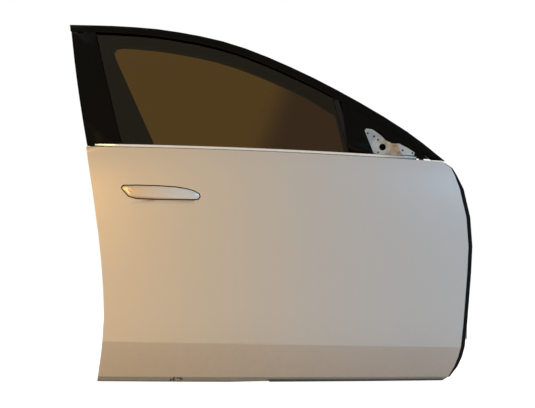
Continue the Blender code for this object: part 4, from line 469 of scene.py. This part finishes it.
moulded = Finish("grained_black_plastic", Specular_IOR_Level=0.2)
patches = moulded.noise(20.0, detail=4.0)
moulded.set(Base_Color=moulded.mix(patches, colour(0.018, 0.018, 0.018), colour(0.035, 0.034, 0.032)),
            Roughness=0.5 + moulded.noise(60.0, detail=4.0) * 0.2,
            Normal=moulded.relief(moulded.cells(900.0, "Distance"), depth=0.00012, strength=0.4))
for node, body in (("glass_carrier_front", "glass"), ("glass_carrier_rear", "glass"),
                   ("regulator_motor", "door"), ("regulator_drum", "drum"),
                   ("rear_top_pulley", "door"), ("rear_foot_pulley", "door"),
                   ("front_top_pulley", "door"), ("front_foot_pulley", "door"),
                   ("handle_base", "door"), ("latch_case", "door"), ("latch_cable", "door")):
    cad_copy(node, node + "_moulded", body, moulded, 40.0)

# Zinc-plated steel: regulator rails, hinge pins and bolts, latch screws and the handle pin, with a thin
# yellowish passivation that varies from spot to spot.

zinc = Finish("zinc_plate", Metallic=1.0)
spangle = zinc.cells(120.0, "Color")
zinc.set(Base_Color=zinc.mix(spangle, colour(0.56, 0.56, 0.53), colour(0.50, 0.49, 0.43)),
         Roughness=0.34 + zinc.noise(50.0, detail=4.0) * 0.18,
         Normal=zinc.relief(zinc.noise(260.0), depth=0.00005, strength=0.5))
for node in ("regulator_rail_front", "regulator_rail_rear", "handle_pin", "latch_screw_1", "latch_screw_2",
             "latch_screw_3", "upper_hinge_bolt_1", "upper_hinge_bolt_2", "lower_hinge_bolt_1",
             "lower_hinge_bolt_2"):
    cad_copy(node, node + "_plated", "door", zinc, 40.0)
for node in ("upper_hinge_pin", "lower_hinge_pin"):
    cad_copy(node, node + "_plated", "body_side", zinc, 40.0)

# Window cables: thin stranded steel, darkened by grease, which run from the drum over the pulleys to the
# glass carriers.

strand = Finish("greased_strand", Metallic=0.9)
grease = strand.noise(300.0)
strand.set(Base_Color=strand.mix(grease, colour(0.16, 0.155, 0.145), colour(0.30, 0.29, 0.27)),
           Roughness=0.35 + strand.noise(500.0) * 0.25)
for node in ("regulator_cable_cross", "regulator_cable_front", "regulator_cable_rear"):
    cad_copy(node, node + "_strand", "door", strand, 60.0)

# Studio: a plain pale floor just under the door. The surround shows white to the camera, in reflections
# and through the glass, and lights the door dimly, warm from the left and cool from the right. Three broad
# round lamps do the rest: warm at the left, cool at the right, and one behind and above.

white_light = colour(1.0, 1.0, 1.0)
warm_side = colour(0.82, 0.625, 0.50)
cool_side = colour(0.865, 0.91, 1.0)
door_middle = (-0.6, 0.0, 0.0)
floor_grey = colour(0.6, 0.6, 0.6)
floor_glow = 0.82
floor_size = 12.0
floor_gap = 0.001
side_blend = (-0.5, 0.5)
surround_strength = 0.26


def seen_by(shading, *kinds):
    """1 on rays of these kinds, 0 on all others"""
    rays = [shading.node("ShaderNodeLightPath", {}, {}, "Is " + kind + " Ray") for kind in kinds]
    seen = rays[0]
    for ray in rays[1:]:
        seen = shading.node("ShaderNodeMath", {"operation": "MAXIMUM"}, {0: seen, 1: ray})
    return seen


floor_white = Finish("studio_floor_white", Base_Color=floor_grey, Roughness=0.8)
matt = Value(floor_white.shader.outputs[0])
glow = floor_white.node("ShaderNodeEmission", {}, {"Strength": floor_glow})
glowing = floor_white.node("ShaderNodeAddShader", {}, {0: matt, 1: glow})
seen = seen_by(floor_white, "Camera", "Glossy")
lit_floor = floor_white.node("ShaderNodeMixShader", {}, {"Fac": seen, 1: matt, 2: glowing})
floor_white.end(lit_floor, "Material Output")

bpy.ops.object.select_all(action="DESELECT")
floor_place = (door_middle[0], door_middle[1], cad_box[0][2] - floor_gap)
bpy.ops.mesh.primitive_plane_add(size=floor_size, location=floor_place)
floor = bpy.context.object
floor.name = "studio_floor"
floor.data.materials.append(floor_white.material)

world = bpy.data.worlds.new("studio")
world.use_nodes = True
bpy.context.scene.world = world
room = Shading(world.node_tree)
heading = room.node("ShaderNodeTexCoord", {}, {}, "Generated")
rightwards = room.node("ShaderNodeSeparateXYZ", {}, {"Vector": heading}, "X")
sides = room.mix(room.band(rightwards, *side_blend), warm_side, cool_side)
dim = world.node_tree.nodes["Background"]
dim.inputs["Strength"].default_value = surround_strength
world.node_tree.links.new(sides.socket, dim.inputs["Color"])
white = room.node("ShaderNodeBackground", {}, {"Color": white_light, "Strength": 1.0})
seen = seen_by(room, "Camera", "Glossy", "Transmission")
either = room.node("ShaderNodeMixShader", {}, {"Fac": seen, 1: Value(dim.outputs[0]), 2: white})
room.end(either, "World Output")

for name, place, tint, power, size in (
        ("warm_lamp", (-2.2, -1.5, 0.3), (1.0, 0.56, 0.15), 20.0, 1.2),
        ("cool_lamp", (1.1, -1.5, 0.7), (0.305, 0.62, 1.0), 15.2, 1.2),
        ("back_lamp", (-0.6, 2.4, 1.8), (1.0, 0.97, 0.93), 40.0, 2.0)):
    lamp = bpy.data.lights.new(name, "AREA")
    lamp.energy = power
    lamp.color = tint
    lamp.shape = "DISK"
    lamp.size = size
    holder = bpy.data.objects.new(name, lamp)
    bpy.context.scene.collection.objects.link(holder)
    holder.location = place
    holder.rotation_euler = (Vector(door_middle) - Vector(place)).to_track_quat("-Z", "Y").to_euler()

camera_place = (-0.600, -3.2865, 0.0344)
camera_lens = 70.83

camera = bpy.data.objects.new("camera", bpy.data.cameras.new("camera"))
bpy.context.scene.collection.objects.link(camera)
camera.location = camera_place
camera.rotation_euler = (math.radians(90.0), 0.0, 0.0)
camera.data.lens = camera_lens
camera.data.sensor_width = 36.0
bpy.context.scene.camera = camera
bpy.context.scene.view_settings.view_transform = "Standard"
